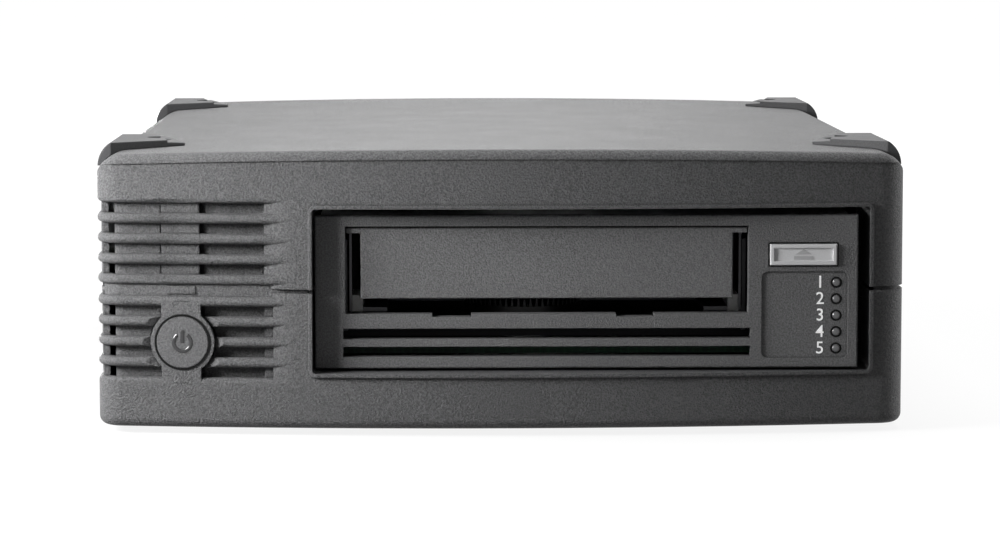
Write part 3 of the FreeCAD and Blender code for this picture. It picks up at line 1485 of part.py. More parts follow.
def make_transformer():
    length, height, rise = transformer_core
    beside, apart = transformer_margin
    x0 = supply_left + beside
    x1 = supply_right - heatsink_inset - apart
    y0 = supply_front + transformer_start
    core = box(x0, x1, y0, y0 + length, supply_top + rise, supply_top + rise + height)
    winding = box(x0 + winding_inset, x1 - winding_inset, y0 - winding_overrun, y0 + length + winding_overrun,
                  supply_top, supply_top + height)
    return core.fuse(rounded(winding, winding_radius, lambda edge: is_along(edge, vec(0, 0, 1)))).removeSplitter()


def make_capacitors():
    dx, dy = can_place
    cans = [upright(can_radius, supply_left + dx, supply_rear - dy, supply_top, supply_top + can_height)]
    for dx, dy in small_can_places:
        cans.append(upright(small_can_radius, supply_right - dx, supply_front + dy, supply_top,
                            supply_top + small_can_height))
    return Part.makeCompound(cans)


def make_heatsink(setback):
    """Finned strip standing on the supply board."""
    reach, thickness, pitch, low = heatsink_fin
    x = supply_right - heatsink_inset
    y0 = supply_front + setback
    y1 = y0 + heatsink_length
    parts = [box(x, x + heatsink_sheet, y0, y1, supply_top, supply_top + heatsink_height)]
    for k in range(heatsink_fins):
        z = supply_top + low + pitch * k
        parts.append(box(x, x + reach, y0, y1, z, z + thickness))
    return joined(parts)


def cable(points, radius):
    """Round cable along straight runs joined by tangent arcs."""
    nodes = [vec(*point) for point in points]
    edges = []
    start = nodes[0]
    for before, corner, after in zip(nodes, nodes[1:], nodes[2:]):
        back = (before - corner)
        on = (after - corner)
        turn = math.pi - back.getAngle(on)
        bend = 0.45 * min(back.Length, on.Length) / math.tan(turn / 2)
        trim = bend * math.tan(turn / 2)
        enter = corner + back.normalize() * trim
        leave = corner + on.normalize() * trim
        middle_way = (back.normalize() + on.normalize()).normalize()
        apex = corner + middle_way * (bend / math.cos(turn / 2) - bend)
        edges.append(Part.LineSegment(start, enter).toShape())
        edges.append(Part.Arc(enter, apex, leave).toShape())
        start = leave
    edges.append(Part.LineSegment(start, nodes[-1]).toShape())
    path = Part.Wire(edges)
    section = Part.Wire(Part.makeCircle(radius, nodes[0], nodes[1] - nodes[0]))
    return path.makePipeShell([section], True, False)


def make_power_harness():
    beside, before = harness_inset
    x = supply_right - beside
    y = supply_rear - before
    first, second, third = harness_rises
    near, far_off = harness_shifts
    high, middle, low = harness_behind
    turn, turn_z = harness_turn
    end_x, end_z = harness_entry
    return cable([
        (x, y, supply_top),
        (x, y, supply_top + first),
        (x + near, y + near, supply_top + second),
        (x + far_off, chassis_rear + high, supply_top + third),
        (end_x - turn, chassis_rear + middle, turn_z),
        (end_x, chassis_rear + low, end_z),
        (end_x, chassis_rear, end_z),
    ], harness_radius)


def make_data_cable():
    z = drive_board_top + connector_height / 2
    x = connector_left + connector_width / 2
    start = chassis_rear + seat_gap + connector_length - connector_mouth
    end = panel_back - data_depth
    first, last = data_cable_runs
    return cable([(x, start, z), (x, start + first, z), (data_x, end - last, data_z), (data_x, end, data_z)],
                 data_cable_radius)


def make_switch_lead():
    face = front_y(power_x) + collar_depth + power_back_gap + power_flange_thickness
    back = face + stem_length + power_travel + switch_height + board_thickness
    near, far_off = switch_lead_runs
    end_x = power_x + switch_lead_shift
    return cable([(power_x, back, power_z), (power_x, back + near, power_z), (end_x, back + far_off, switch_lead_z),
                  (end_x, supply_front + switch_lead_end, supply_top + switch_lead_radius)], switch_lead_radius)


def make_fan_lead():
    x = fan_x - fan_size / 2
    y = fan_front + fan_lead_setback
    near, far_off = fan_lead_shifts
    forwards, down = fan_lead_bend
    left, behind, over = fan_lead_loop
    dx, dy, rise = fan_lead_end
    end_x = supply_right - dx
    end_y = supply_rear - dy
    return cable([
        (x, y, fan_lead_z),
        (x - near, y, fan_lead_z),
        (x - far_off, y - forwards, fan_lead_z - down),
        (supply_right - left, supply_rear + behind, supply_top + over),
        (end_x, end_y, supply_top + rise),
        (end_x, end_y, supply_top),
    ], fan_lead_radius)


whole_shell = shell()
solid_body = outer_body()
front_pads, rear_pads = pad_fronts()
front_feet = foot_places()[:2]
rear_feet = foot_places()[2:]
first_heatsink, second_heatsink = heatsink_setbacks

nodes = {
    "top_cover": make_cover(whole_shell),
    "base_shell": make_base(whole_shell),
    "shell_screws": make_shell_screws(),
    "vent_baffle": make_baffle(),
    "power_button": make_power_button(),
    "switch_board": make_switch_board(),
    "switch_lead": make_switch_lead(),
    "pad_front_left": make_pad(-1, front_pads, solid_body),
    "pad_front_right": make_pad(1, front_pads, solid_body),
    "pad_rear_left": make_pad(-1, rear_pads, solid_body),
    "pad_rear_right": make_pad(1, rear_pads, solid_body),
    "foot_front_left": make_foot(*front_feet[0]),
    "foot_front_right": make_foot(*front_feet[1]),
    "foot_rear_left": make_foot(*rear_feet[0]),
    "foot_rear_right": make_foot(*rear_feet[1]),
    "rear_panel": make_rear_panel(),
    "fan_frame": make_fan_frame(),
    "fan_rotor": make_fan_rotor(),
    "fan_screws": make_fan_screws(),
    "fan_lead": make_fan_lead(),
    "mains_inlet": make_inlet(),
    "inlet_screws": make_inlet_screws(),
    "data_socket": make_data_socket(),
    "data_cable": make_data_cable(),
    "supply_board": make_supply_board(),
    "supply_transformer": make_transformer(),
    "supply_capacitors": make_capacitors(),
    "supply_heatsink_front": make_heatsink(first_heatsink),
    "supply_heatsink_rear": make_heatsink(second_heatsink),
    "power_harness": make_power_harness(),
    "drive_rail_left": make_rail(-1),
    "drive_rail_right": make_rail(1),
    "drive_screws": make_drive_screws(),
    "drive_bezel": make_bezel(),
    "cartridge_door": make_door(),
    "eject_button": make_eject_button(),
    "status_lenses": make_lights(),
    "front_board": make_front_board(),
    "drive_chassis": make_chassis(),
    "drive_lid": make_lid(),
    "drive_board": make_drive_board(),
    "drive_connector": make_drive_connector(),
    "tray_slider": make_slider(),
    "cartridge_tray": make_tray(),
    "lead_in_left": make_lead_in(-1),
    "lead_in_right": make_lead_in(1),
    "reel_driver": make_reel_driver(),
    "reel_motor": make_reel_motor(reel_driver_x, reel_driver_y),
    "takeup_reel": make_takeup_reel(),
    "takeup_motor": make_reel_motor(takeup_x, takeup_y),
    "head_carriage": make_head_carriage(),
    "tape_head": make_tape_head(),
    "head_actuator": make_head_actuator(),
}
for number, place in enumerate(roller_places, 1):
    nodes["guide_roller_" + str(number)] = make_roller(*place)

os.makedirs("parts", exist_ok=True)
for name, shape in nodes.items():
    shape.exportStep("parts/" + name + ".step")
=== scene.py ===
import math

import bpy
from mathutils import Euler, Matrix, Vector


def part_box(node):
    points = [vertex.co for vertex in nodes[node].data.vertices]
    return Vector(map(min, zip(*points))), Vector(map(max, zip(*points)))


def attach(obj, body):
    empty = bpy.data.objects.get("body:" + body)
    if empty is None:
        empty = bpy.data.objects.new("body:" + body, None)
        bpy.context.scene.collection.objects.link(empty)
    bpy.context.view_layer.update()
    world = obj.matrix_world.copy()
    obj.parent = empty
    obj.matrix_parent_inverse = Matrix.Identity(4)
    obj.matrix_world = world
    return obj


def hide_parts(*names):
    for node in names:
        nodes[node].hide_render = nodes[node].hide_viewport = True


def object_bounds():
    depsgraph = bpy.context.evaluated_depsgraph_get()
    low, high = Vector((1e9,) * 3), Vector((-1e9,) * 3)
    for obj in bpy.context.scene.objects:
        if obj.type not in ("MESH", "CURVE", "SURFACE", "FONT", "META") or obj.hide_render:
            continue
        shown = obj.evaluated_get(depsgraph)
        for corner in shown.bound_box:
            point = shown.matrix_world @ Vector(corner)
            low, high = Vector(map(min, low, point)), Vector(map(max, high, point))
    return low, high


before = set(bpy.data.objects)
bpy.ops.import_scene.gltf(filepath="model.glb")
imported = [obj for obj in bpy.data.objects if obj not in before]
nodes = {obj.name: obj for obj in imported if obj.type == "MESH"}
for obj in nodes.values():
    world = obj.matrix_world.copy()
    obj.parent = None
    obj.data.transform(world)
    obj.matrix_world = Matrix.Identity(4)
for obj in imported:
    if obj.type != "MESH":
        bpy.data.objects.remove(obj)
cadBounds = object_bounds()
print("frame loaded:", len(nodes), "nodes")


# selecting

def objectMode():
    if bpy.context.object and bpy.context.object.mode != "OBJECT":
        bpy.ops.object.mode_set(mode="OBJECT")


def deselectAll():
    objectMode()
    bpy.ops.object.select_all(action="DESELECT")


def selectOnly(piece):
    deselectAll()
    piece.select_set(True)
    bpy.context.view_layer.objects.active = piece


def editFaces(piece, wanted):
    # edit mode with only the faces that pass the test selected
    selectOnly(piece)
    bpy.ops.object.mode_set(mode="EDIT")
    bpy.ops.mesh.select_mode(type="FACE")
    bpy.ops.mesh.select_all(action="DESELECT")
    bpy.ops.object.mode_set(mode="OBJECT")
    for face in piece.data.polygons:
        face.select = wanted(face)
    bpy.ops.object.mode_set(mode="EDIT")


def facingFront(side):
    return side.normal.y < -0.95


def facingBack(side):
    return side.normal.y > 0.95


def bakePlace(piece):
    # the place goes into the mesh, the object back to the origin
    selectOnly(piece)
    bpy.ops.object.transform_apply(location=True, rotation=True, scale=True)


def bevelEdges(piece, width, segments):
    selectOnly(piece)
    bevel = piece.modifiers.new("softEdge", "BEVEL")
    bevel.width = width
    bevel.segments = segments
    bevel.limit_method = "ANGLE"
    bevel.angle_limit = math.radians(40)
    bpy.ops.object.modifier_apply(modifier=bevel.name)
    bpy.ops.object.shade_smooth_by_angle(angle=math.radians(35))


def copyOf(piece, name, shift):
    twin = piece.copy()
    twin.data = piece.data.copy()
    twin.name = name
    bpy.context.collection.objects.link(twin)
    twin.location = shift
    bakePlace(twin)
    return twin


# materials

def newMaterial(name):
    material = bpy.data.materials.new(name)
    material.use_nodes = True
    tree = material.node_tree
    shader = tree.nodes["Principled BSDF"]
    coords = tree.nodes.new("ShaderNodeTexCoord")
    return material, tree, shader, coords.outputs["Object"]


def noiseNode(tree, coords, scale, detail=2.0, rough=0.5, stretch=None):
    if stretch:
        mapping = tree.nodes.new("ShaderNodeMapping")
        mapping.inputs["Scale"].default_value = stretch
        tree.links.new(coords, mapping.inputs["Vector"])
        coords = mapping.outputs["Vector"]
    noise = tree.nodes.new("ShaderNodeTexNoise")
    noise.inputs["Scale"].default_value = scale
    noise.inputs["Detail"].default_value = detail
    noise.inputs["Roughness"].default_value = rough
    tree.links.new(coords, noise.inputs["Vector"])
    return noise.outputs["Fac"]


def rampNode(tree, source, low, high, lowColor, highColor):
    ramp = tree.nodes.new("ShaderNodeValToRGB")
    ramp.color_ramp.elements[0].position = low
    ramp.color_ramp.elements[0].color = (*lowColor, 1)
    ramp.color_ramp.elements[1].position = high
    ramp.color_ramp.elements[1].color = (*highColor, 1)
    tree.links.new(source, ramp.inputs["Fac"])
    return ramp.outputs["Color"]


def shade(color, factor):
    return tuple(min(1.0, part * factor) for part in color)


def roundedEdges(tree, radius):
    bevel = tree.nodes.new("ShaderNodeBevel")
    bevel.samples = 6
    bevel.inputs["Radius"].default_value = radius
    return bevel.outputs["Normal"]


def bumpNode(tree, height, distance, strength, normal=None):
    bump = tree.nodes.new("ShaderNodeBump")
    bump.inputs["Distance"].default_value = distance
    bump.inputs["Strength"].default_value = strength
    tree.links.new(height, bump.inputs["Height"])
    if normal:
        tree.links.new(normal, bump.inputs["Normal"])
    return bump.outputs["Normal"]


def multiplied(tree, first, second):
    mix = tree.nodes.new("ShaderNodeMix")
    mix.data_type = "RGBA"
    mix.blend_type = "MULTIPLY"
    mix.inputs["Factor"].default_value = 1.0
    tree.links.new(first, mix.inputs["A"])
    tree.links.new(second, mix.inputs["B"])
    return mix.outputs["Result"]


def spreadRoughness(tree, shader, source, rough, smoother, rougher):
    spread = tree.nodes.new("ShaderNodeMapRange")
    spread.inputs["To Min"].default_value = rough - smoother
    spread.inputs["To Max"].default_value = rough + rougher
    tree.links.new(source, spread.inputs["Value"])
    tree.links.new(spread.outputs["Result"], shader.inputs["Roughness"])


# settings of the painted shade that darkens the colour in inner corners, gaps and slots
creviceShade = {"samples": 6, "low": 0.35, "high": 0.85, "dark": 0.16}


def paintedCreviceShade(tree, reach):
    # painted shade: the colour is darkened by ambient occlusion in inner corners, gaps and slots
    near = tree.nodes.new("ShaderNodeAmbientOcclusion")
    near.samples = creviceShade["samples"]
    near.inputs["Distance"].default_value = reach
    return rampNode(tree, near.outputs["AO"], creviceShade["low"], creviceShade["high"],
                    (creviceShade["dark"],) * 3, (1.0,) * 3)


mould = {"grainDetail": 3.0, "grainRough": 0.65, "grainRamp": (0.38, 0.62), "mottleRamp": (0.3, 0.7),
         "mottleDark": 0.94, "roughSpread": 0.06}


def mouldedPlastic(name, look):
    # spark-eroded moulded surface: fine grain, slow mottling, softly rounded edges, and where asked painted
    # shade in inner corners and gaps
    material, tree, shader, coords = newMaterial(name)
    grain = noiseNode(tree, coords, look["grainScale"], mould["grainDetail"], mould["grainRough"])
    mottle = noiseNode(tree, coords, look["mottleScale"])
    dark, light = (shade(look["color"], 1 + side * look["speckle"]) for side in (-1, 1))
    fine = rampNode(tree, grain, *mould["grainRamp"], dark, light)
    slow = rampNode(tree, mottle, *mould["mottleRamp"], (mould["mottleDark"],) * 3, (1.0,) * 3)
    color = multiplied(tree, fine, slow)
    # painted shade: darker colour in inner corners, gaps and slots
    if "shadeReach" in look:
        color = multiplied(tree, color, paintedCreviceShade(tree, look["shadeReach"]))
    tree.links.new(color, shader.inputs["Base Color"])
    spreadRoughness(tree, shader, mottle, look["rough"], mould["roughSpread"], mould["roughSpread"])
    edges = roundedEdges(tree, look["edge"]) if look["edge"] else None
    normal = bumpNode(tree, grain, look["grainDepth"], look["grainStrength"], edges)
    tree.links.new(normal, shader.inputs["Normal"])
    shader.inputs["Specular IOR Level"].default_value = look["specular"]
    return material


metalGrain = {"detail": 4.0, "rough": 0.6, "ramp": (0.3, 0.7), "dark": 0.88, "light": 1.06,
              "cloudScale": 45.0, "smoother": 0.07, "rougher": 0.1, "bump": 0.5, "edge": 0.00025}


def metalSurface(name, look):
    # rolled, plated or cast metal: streaks along one way or an even grain
    material, tree, shader, coords = newMaterial(name)
    streaks = noiseNode(tree, coords, look["scale"], metalGrain["detail"], metalGrain["rough"],
                        look["stretch"])
    clouds = noiseNode(tree, coords, metalGrain["cloudScale"])
    dark, light = (shade(look["color"], metalGrain[side]) for side in ("dark", "light"))
    tree.links.new(rampNode(tree, streaks, *metalGrain["ramp"], dark, light), shader.inputs["Base Color"])
    spreadRoughness(tree, shader, clouds, look["rough"], metalGrain["smoother"], metalGrain["rougher"])
    edges = roundedEdges(tree, metalGrain["edge"])
    normal = bumpNode(tree, streaks, look["depth"], metalGrain["bump"], edges)
    tree.links.new(normal, shader.inputs["Normal"])
    shader.inputs["Metallic"].default_value = 1.0
    return material


# painted shade: the mask colour is near black, so the board seen through the grille slots shows black
board = {"mask": (0.003, 0.016, 0.007), "trace": (0.006, 0.030, 0.012), "lighter": 1.25, "traceScale": 220.0,
         "traceWide": 0.06, "grainScale": 900.0, "grainDepth": 0.00002, "grainStrength": 0.4, "rough": 0.36,
         "specular": 0.2}


def circuitBoard(name):
    # solder mask over copper traces, which show as slightly lighter ways
    material, tree, shader, coords = newMaterial(name)
    brick = tree.nodes.new("ShaderNodeTexBrick")
    brick.inputs["Scale"].default_value = board["traceScale"]
    brick.inputs["Color1"].default_value = (*board["mask"], 1)
    brick.inputs["Color2"].default_value = (*shade(board["mask"], board["lighter"]), 1)
    brick.inputs["Mortar"].default_value = (*board["trace"], 1)
    brick.inputs["Mortar Size"].default_value = board["traceWide"]
    tree.links.new(coords, brick.inputs["Vector"])
    tree.links.new(brick.outputs["Color"], shader.inputs["Base Color"])
    grain = noiseNode(tree, coords, board["grainScale"])
    normal = bumpNode(tree, grain, board["grainDepth"], board["grainStrength"])
    tree.links.new(normal, shader.inputs["Normal"])
    shader.inputs["Roughness"].default_value = board["rough"]
    shader.inputs["Specular IOR Level"].default_value = board["specular"]
    return material


finishes = {
    "enclosure": {"color": (0.090, 0.090, 0.092), "rough": 0.46, "specular": 0.2, "grainScale": 2000.0,
                  "grainDepth": 0.00055, "grainStrength": 1.0, "speckle": 0.36, "mottleScale": 60.0,
                  "edge": 0.0005, "shadeReach": 0.0009},
    "pads": {"color": (0.045, 0.045, 0.047), "rough": 0.58, "specular": 0.3, "grainScale": 2600.0,
             "grainDepth": 0.0001, "grainStrength": 0.5, "speckle": 0.14, "mottleScale": 90.0,
             "edge": 0.0006},
    "feet": {"color": (0.020, 0.020, 0.021), "rough": 0.75, "specular": 0.3, "grainScale": 1800.0,
             "grainDepth": 0.0001, "grainStrength": 0.4, "speckle": 0.2, "mottleScale": 90.0, "edge": 0.0003},
    "button": {"color": (0.076, 0.076, 0.078), "rough": 0.46, "specular": 0.3, "grainScale": 2100.0,
               "grainDepth": 0.0004, "grainStrength": 0.8, "speckle": 0.28, "mottleScale": 80.0,
               "edge": 0.0004, "shadeReach": 0.0008},
    "bezel": {"color": (0.118, 0.118, 0.120), "rough": 0.50, "specular": 0.25, "grainScale": 2100.0,
              "grainDepth": 0.0004, "grainStrength": 0.8, "speckle": 0.3, "mottleScale": 70.0,
              "edge": 0.0003, "shadeReach": 0.0009},
    "door": {"color": (0.136, 0.136, 0.138), "rough": 0.46, "specular": 0.25, "grainScale": 2100.0,
             "grainDepth": 0.0004, "grainStrength": 0.8, "speckle": 0.28, "mottleScale": 70.0,
             "edge": 0.0003, "shadeReach": 0.0008},
    "eject": {"color": (0.66, 0.66, 0.67), "rough": 0.42, "specular": 0.5, "grainScale": 3200.0,
              "grainDepth": 0.00005, "grainStrength": 0.3, "speckle": 0.03, "mottleScale": 80.0,
              "edge": 0.0003},
    "blackMoulding": {"color": (0.016, 0.016, 0.017), "rough": 0.4, "specular": 0.5, "grainScale": 2400.0,
                      "grainDepth": 0.00005, "grainStrength": 0.3, "speckle": 0.15, "mottleScale": 80.0,
                      "edge": 0.0003},
    "whiteGuide": {"color": (0.82, 0.82, 0.81), "rough": 0.42, "specular": 0.5, "grainScale": 2400.0,
                   "grainDepth": 0.00004, "grainStrength": 0.3, "speckle": 0.03, "mottleScale": 80.0,
                   "edge": 0.0003},
    "cable": {"color": (0.018, 0.018, 0.019), "rough": 0.5, "specular": 0.45, "grainScale": 1500.0,
              "grainDepth": 0.00008, "grainStrength": 0.4, "speckle": 0.12, "mottleScale": 60.0, "edge": 0},
    "windingTape": {"color": (0.62, 0.46, 0.05), "rough": 0.35, "specular": 0.5, "grainScale": 900.0,
                    "grainDepth": 0.0001, "grainStrength": 0.3, "speckle": 0.06, "mottleScale": 70.0,
                    "edge": 0.0004},
    "panelPaint": {"color": (0.022, 0.022, 0.024), "rough": 0.45, "specular": 0.5, "grainScale": 1700.0,
                   "grainDepth": 0.0001, "grainStrength": 0.5, "speckle": 0.1, "mottleScale": 60.0,
                   "edge": 0.0002},
    "lens": {"color": (0.035, 0.035, 0.038), "rough": 0.3, "specular": 1.0, "grainScale": 600.0,
             "grainDepth": 0.00002, "grainStrength": 0.1, "speckle": 0.05, "mottleScale": 200.0,
             "edge": 0.0003},
    "whiteInk": {"color": (0.86, 0.86, 0.86), "rough": 0.5, "specular": 0.3, "grainScale": 5000.0,
                 "grainDepth": 0.00001, "grainStrength": 0.2, "speckle": 0.03, "mottleScale": 300.0,
                 "edge": 0},
    # painted shade: near-black finish laid where the gaps round the buttons and lights fall into shadow
    "paintedGapShade": {"color": (0.004, 0.004, 0.004), "rough": 0.6, "specular": 0.1, "grainScale": 2400.0,
                 "grainDepth": 0.00002, "grainStrength": 0.2, "speckle": 0.1, "mottleScale": 80.0, "edge": 0},
    # painted shade of an engraved groove, with a glossy finish
    "glossyGrooveShade": {"color": (0.016, 0.016, 0.017), "rough": 0.24, "specular": 0.6, "grainScale": 2400.0,
                    "grainDepth": 0.00001, "grainStrength": 0.2, "speckle": 0.05, "mottleScale": 80.0,
                    "edge": 0},
    "greyInk": {"color": (0.46, 0.46, 0.47), "rough": 0.5, "specular": 0.3, "grainScale": 5000.0,
                "grainDepth": 0.00001, "grainStrength": 0.2, "speckle": 0.03, "mottleScale": 300.0,
                "edge": 0},
}
plastics = {name: mouldedPlastic(name, look) for name, look in finishes.items()}
# painted light: the white ink glows a little, so the printed numbers stay white in the shade
paintedInkGlow = 0.25      # keeps the printed numbers white in the shade
inkShader = plastics["whiteInk"].node_tree.nodes["Principled BSDF"]
inkShader.inputs["Emission Color"].default_value = (1, 1, 1, 1)
inkShader.inputs["Emission Strength"].default_value = paintedInkGlow

metals = {
    "platedSheet": {"color": (0.44, 0.45, 0.46), "rough": 0.36, "scale": 500.0, "stretch": (1.0, 0.05, 1.0),
                    "depth": 0.00002},
    "darkSheet": {"color": (0.055, 0.055, 0.058), "rough": 0.4, "scale": 500.0, "stretch": (1.0, 0.05, 1.0),
                  "depth": 0.00002},
    # painted shade: the cast chassis is near black, so the deck seen through the grille slots shows black
    "paintedShadeCast": {"color": (0.012, 0.012, 0.013), "rough": 0.55, "scale": 1200.0,
                      "stretch": (1.0, 1.0, 1.0), "depth": 0.00008},
    "castMetal": {"color": (0.50, 0.51, 0.52), "rough": 0.48, "scale": 1200.0, "stretch": (1.0, 1.0, 1.0),
                  "depth": 0.00008},
    "screwSteel": {"color": (0.42, 0.42, 0.43), "rough": 0.32, "scale": 900.0, "stretch": (1.0, 1.0, 0.3),
                   "depth": 0.00002},
    "canSleeve": {"color": (0.10, 0.11, 0.16), "rough": 0.35, "scale": 700.0, "stretch": (1.0, 1.0, 0.2),
                  "depth": 0.00001},
}
metalFinishes = {name: metalSurface(name, look) for name, look in metals.items()}
boardFinish = circuitBoard("circuitBoard")
print("materials ready")

finishOfNode = {
    "top_cover": "enclosure", "base_shell": "enclosure", "vent_baffle": "enclosure", "power_button": "button",
    "drive_bezel": "bezel", "cartridge_door": "door", "eject_button": "eject", "status_lenses": "lens",
    "rear_panel": "panelPaint", "fan_frame": "blackMoulding", "fan_rotor": "blackMoulding",
    "mains_inlet": "blackMoulding", "data_socket": "platedSheet", "drive_connector": "blackMoulding",
    "drive_chassis": "paintedShadeCast", "drive_lid": "platedSheet", "tray_slider": "darkSheet",
    "cartridge_tray": "darkSheet", "lead_in_left": "whiteGuide", "lead_in_right": "whiteGuide",
    "reel_driver": "blackMoulding", "reel_motor": "platedSheet", "takeup_motor": "platedSheet",
    "takeup_reel": "whiteGuide", "head_carriage": "castMetal", "tape_head": "screwSteel",
    "head_actuator": "blackMoulding", "supply_transformer": "windingTape", "supply_capacitors": "canSleeve",
    "supply_heatsink_front": "castMetal", "supply_heatsink_rear": "castMetal",
}
finishOfKind = {
    "pad_": "pads", "foot_": "feet", "screws": "screwSteel", "board": "boardFinish", "rail": "platedSheet",
    "roller": "whiteGuide", "lead": "cable", "harness": "cable", "cable": "cable",
}


def finishFor(node):
    if node in finishOfNode:
        return finishOfNode[node]
    for part, finish in finishOfKind.items():
        if part in node:
            return finish
    return "blackMoulding"


def dressNodes():
    known = {**plastics, **metalFinishes, "boardFinish": boardFinish}
    for name, piece in nodes.items():
        material = known[finishFor(name)]
        if not piece.material_slots:
            piece.data.materials.append(material)
        for place in piece.material_slots:
            place.material = material


dressNodes()
print("nodes dressed")


# small pieces on the front

def finishPiece(piece, name, material, body):
    # name, finish, place in the mesh and the body that it rides on
    piece.name = name
    piece.data.materials.clear()
    piece.data.materials.append(material)
    bakePlace(piece)
    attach(piece, body)


def turnToFront(piece):
    # drawn flat in X and Y, then stood up to face the front
    selectOnly(piece)
    bpy.ops.transform.rotate(value=math.radians(-90), orient_axis="X", center_override=(0, 0, 0))


def turnOutwards():
    # the whole closed piece that is being edited gets its faces turned outwards
    bpy.ops.mesh.select_all(action="SELECT")
    bpy.ops.mesh.normals_make_consistent(inside=False)
    objectMode()


def middleOf(node):
    low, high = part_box(node)
    return (low.x + high.x) / 2, (low.z + high.z) / 2


lightCount = 5


def lightRow():
    # left edge, front and pitch of the row of lights, and the height of the top one
    low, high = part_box("status_lenses")
    across = high.x - low.x
    return low.x, low.y, (high.z - low.z - across) / (lightCount - 1), high.z - across / 2


# gap is the room left of the lights, clear the step in front of their foot
numbers = {"size": 0.00476, "gap": 0.0019, "proud": 0.00006, "clear": 0.00003, "bolder": 0.00002}


def makeNumbers():
    leftX, faceY, pitch, topZ = lightRow()
    for count in range(lightCount):
        deselectAll()
        bpy.ops.object.text_add(location=(0, 0, 0))
        text = bpy.context.object
        text.data.body = str(count + 1)
        text.data.size = numbers["size"]
        text.data.align_x = "RIGHT"
        text.data.align_y = "CENTER"
        text.data.extrude = numbers["proud"]
        text.data.offset = numbers["bolder"]
        bpy.ops.object.convert(target="MESH")
        piece = bpy.context.object
        piece.rotation_euler = (math.radians(90), 0, 0)
        piece.location = (leftX - numbers["gap"], faceY - numbers["clear"], topZ - pitch * count)
        finishPiece(piece, "statusNumber" + str(count + 1), plastics["whiteInk"], "enclosure")


makeNumbers()
print("numbers placed")


statusLight = {"domeRadius": 0.00108, "domeHeight": 0.00055, "domeBase": 0.0001, "stemLong": 0.0055,
               "ringRadius": 0.00132, "ringThick": 0.00026, "ringFlat": 0.35}


def makeDome(place):
    # the lens: a flat dome on a stem that goes back through the bezel
    deselectAll()
    bpy.ops.mesh.primitive_uv_sphere_add(segments=24, ring_count=14, radius=statusLight["domeRadius"],
                                         location=place)
    dome = bpy.context.object
    dome.scale = (1, statusLight["domeHeight"] / statusLight["domeRadius"], 1)
    bakePlace(dome)
    editFaces(dome, lambda side: True)
    bpy.ops.mesh.bisect(plane_co=(place[0], place[1] + statusLight["domeBase"], place[2]), plane_no=(0, 1, 0),
                        clear_outer=True, use_fill=True)
    objectMode()
    editFaces(dome, facingBack)
    bpy.ops.mesh.extrude_region_move(TRANSFORM_OT_translate={"value": (0, statusLight["stemLong"], 0)})
    objectMode()
    bpy.ops.object.shade_smooth_by_angle(angle=math.radians(35))
    return dome


# painted shade: a flat black ring standing in for the shadowed hole round each lens
def makeRing(place):
    deselectAll()
    bpy.ops.mesh.primitive_torus_add(major_radius=statusLight["ringRadius"],
                                     minor_radius=statusLight["ringThick"], major_segments=32,
                                     minor_segments=8, location=place, rotation=(math.radians(90), 0, 0))
    ring = bpy.context.object
    ring.scale = (1, 1, statusLight["ringFlat"])
    bakePlace(ring)
    bpy.ops.object.shade_smooth()
    return ring


def makeStatusLights():
    # a small dome in a black ring of painted shade for the hole round it, modelled once and copied down the
    # row
    faceY, pitch, topZ = lightRow()[1:]
    place = (middleOf("status_lenses")[0], faceY, topZ)
    dome = makeDome(place)
    ring = makeRing(place)
    for count in range(lightCount):
        drop = Vector((0, 0, -pitch * count))
        light = copyOf(dome, "statusDome" + str(count + 1), drop)
        finishPiece(light, "statusDome" + str(count + 1), plastics["lens"], "enclosure")
        edge = copyOf(ring, "statusShadeRing" + str(count + 1), drop)
        finishPiece(edge, "statusShadeRing" + str(count + 1), plastics["paintedGapShade"], "enclosure")
        if count == 0:
            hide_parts("status_lenses")
    bpy.data.objects.remove(dome)
    bpy.data.objects.remove(ring)


makeStatusLights()
print("status lights made")


def frontOf(names, x, z):
    # first point of the named nodes that a line from the front meets, and the surface's lean there
    hits = []
    ahead = 2 * cadBounds[0][1]
    for name in names:
        hit, place, normal = nodes[name].ray_cast(Vector((x, ahead, z)), Vector((0, 1, 0)))[:3]
        if hit:
            hits.append((place.y, math.atan2(normal.x, -normal.y)))
    return min(hits)


powerSymbol = {"radius": 0.00240, "line": 0.00052, "flat": 0.4, "gap": 36, "barHigh": 0.0036,
               "barWide": 0.00105, "barMiddle": 0.0016, "barEdge": 0.0002}


def makePowerArc():
    # the broken ring, its two ends closed
    deselectAll()
    bpy.ops.mesh.primitive_torus_add(major_radius=powerSymbol["radius"], minor_radius=powerSymbol["line"],
                                     major_segments=60, minor_segments=10)
    arc = bpy.context.object
    arc.scale = (1, 1, powerSymbol["flat"])
    bakePlace(arc)
    halfGap = math.radians(powerSymbol["gap"])
    editFaces(arc, lambda side: abs(math.atan2(side.center.x, side.center.y)) < halfGap)
    bpy.ops.mesh.delete(type="FACE")
    bpy.ops.mesh.select_mode(type="EDGE")
    bpy.ops.mesh.select_all(action="DESELECT")
    bpy.ops.mesh.select_non_manifold()
    bpy.ops.mesh.fill_holes(sides=0)
    objectMode()
    return arc


def makePowerBar():
    deselectAll()
    bpy.ops.mesh.primitive_cube_add(size=1, location=(0, powerSymbol["barMiddle"], 0),
                                    scale=(powerSymbol["barWide"], powerSymbol["barHigh"],
                                           powerSymbol["line"] * powerSymbol["flat"] * 2))
    bar = bpy.context.object
    bakePlace(bar)
    bevelEdges(bar, powerSymbol["barEdge"], 3)
    return bar


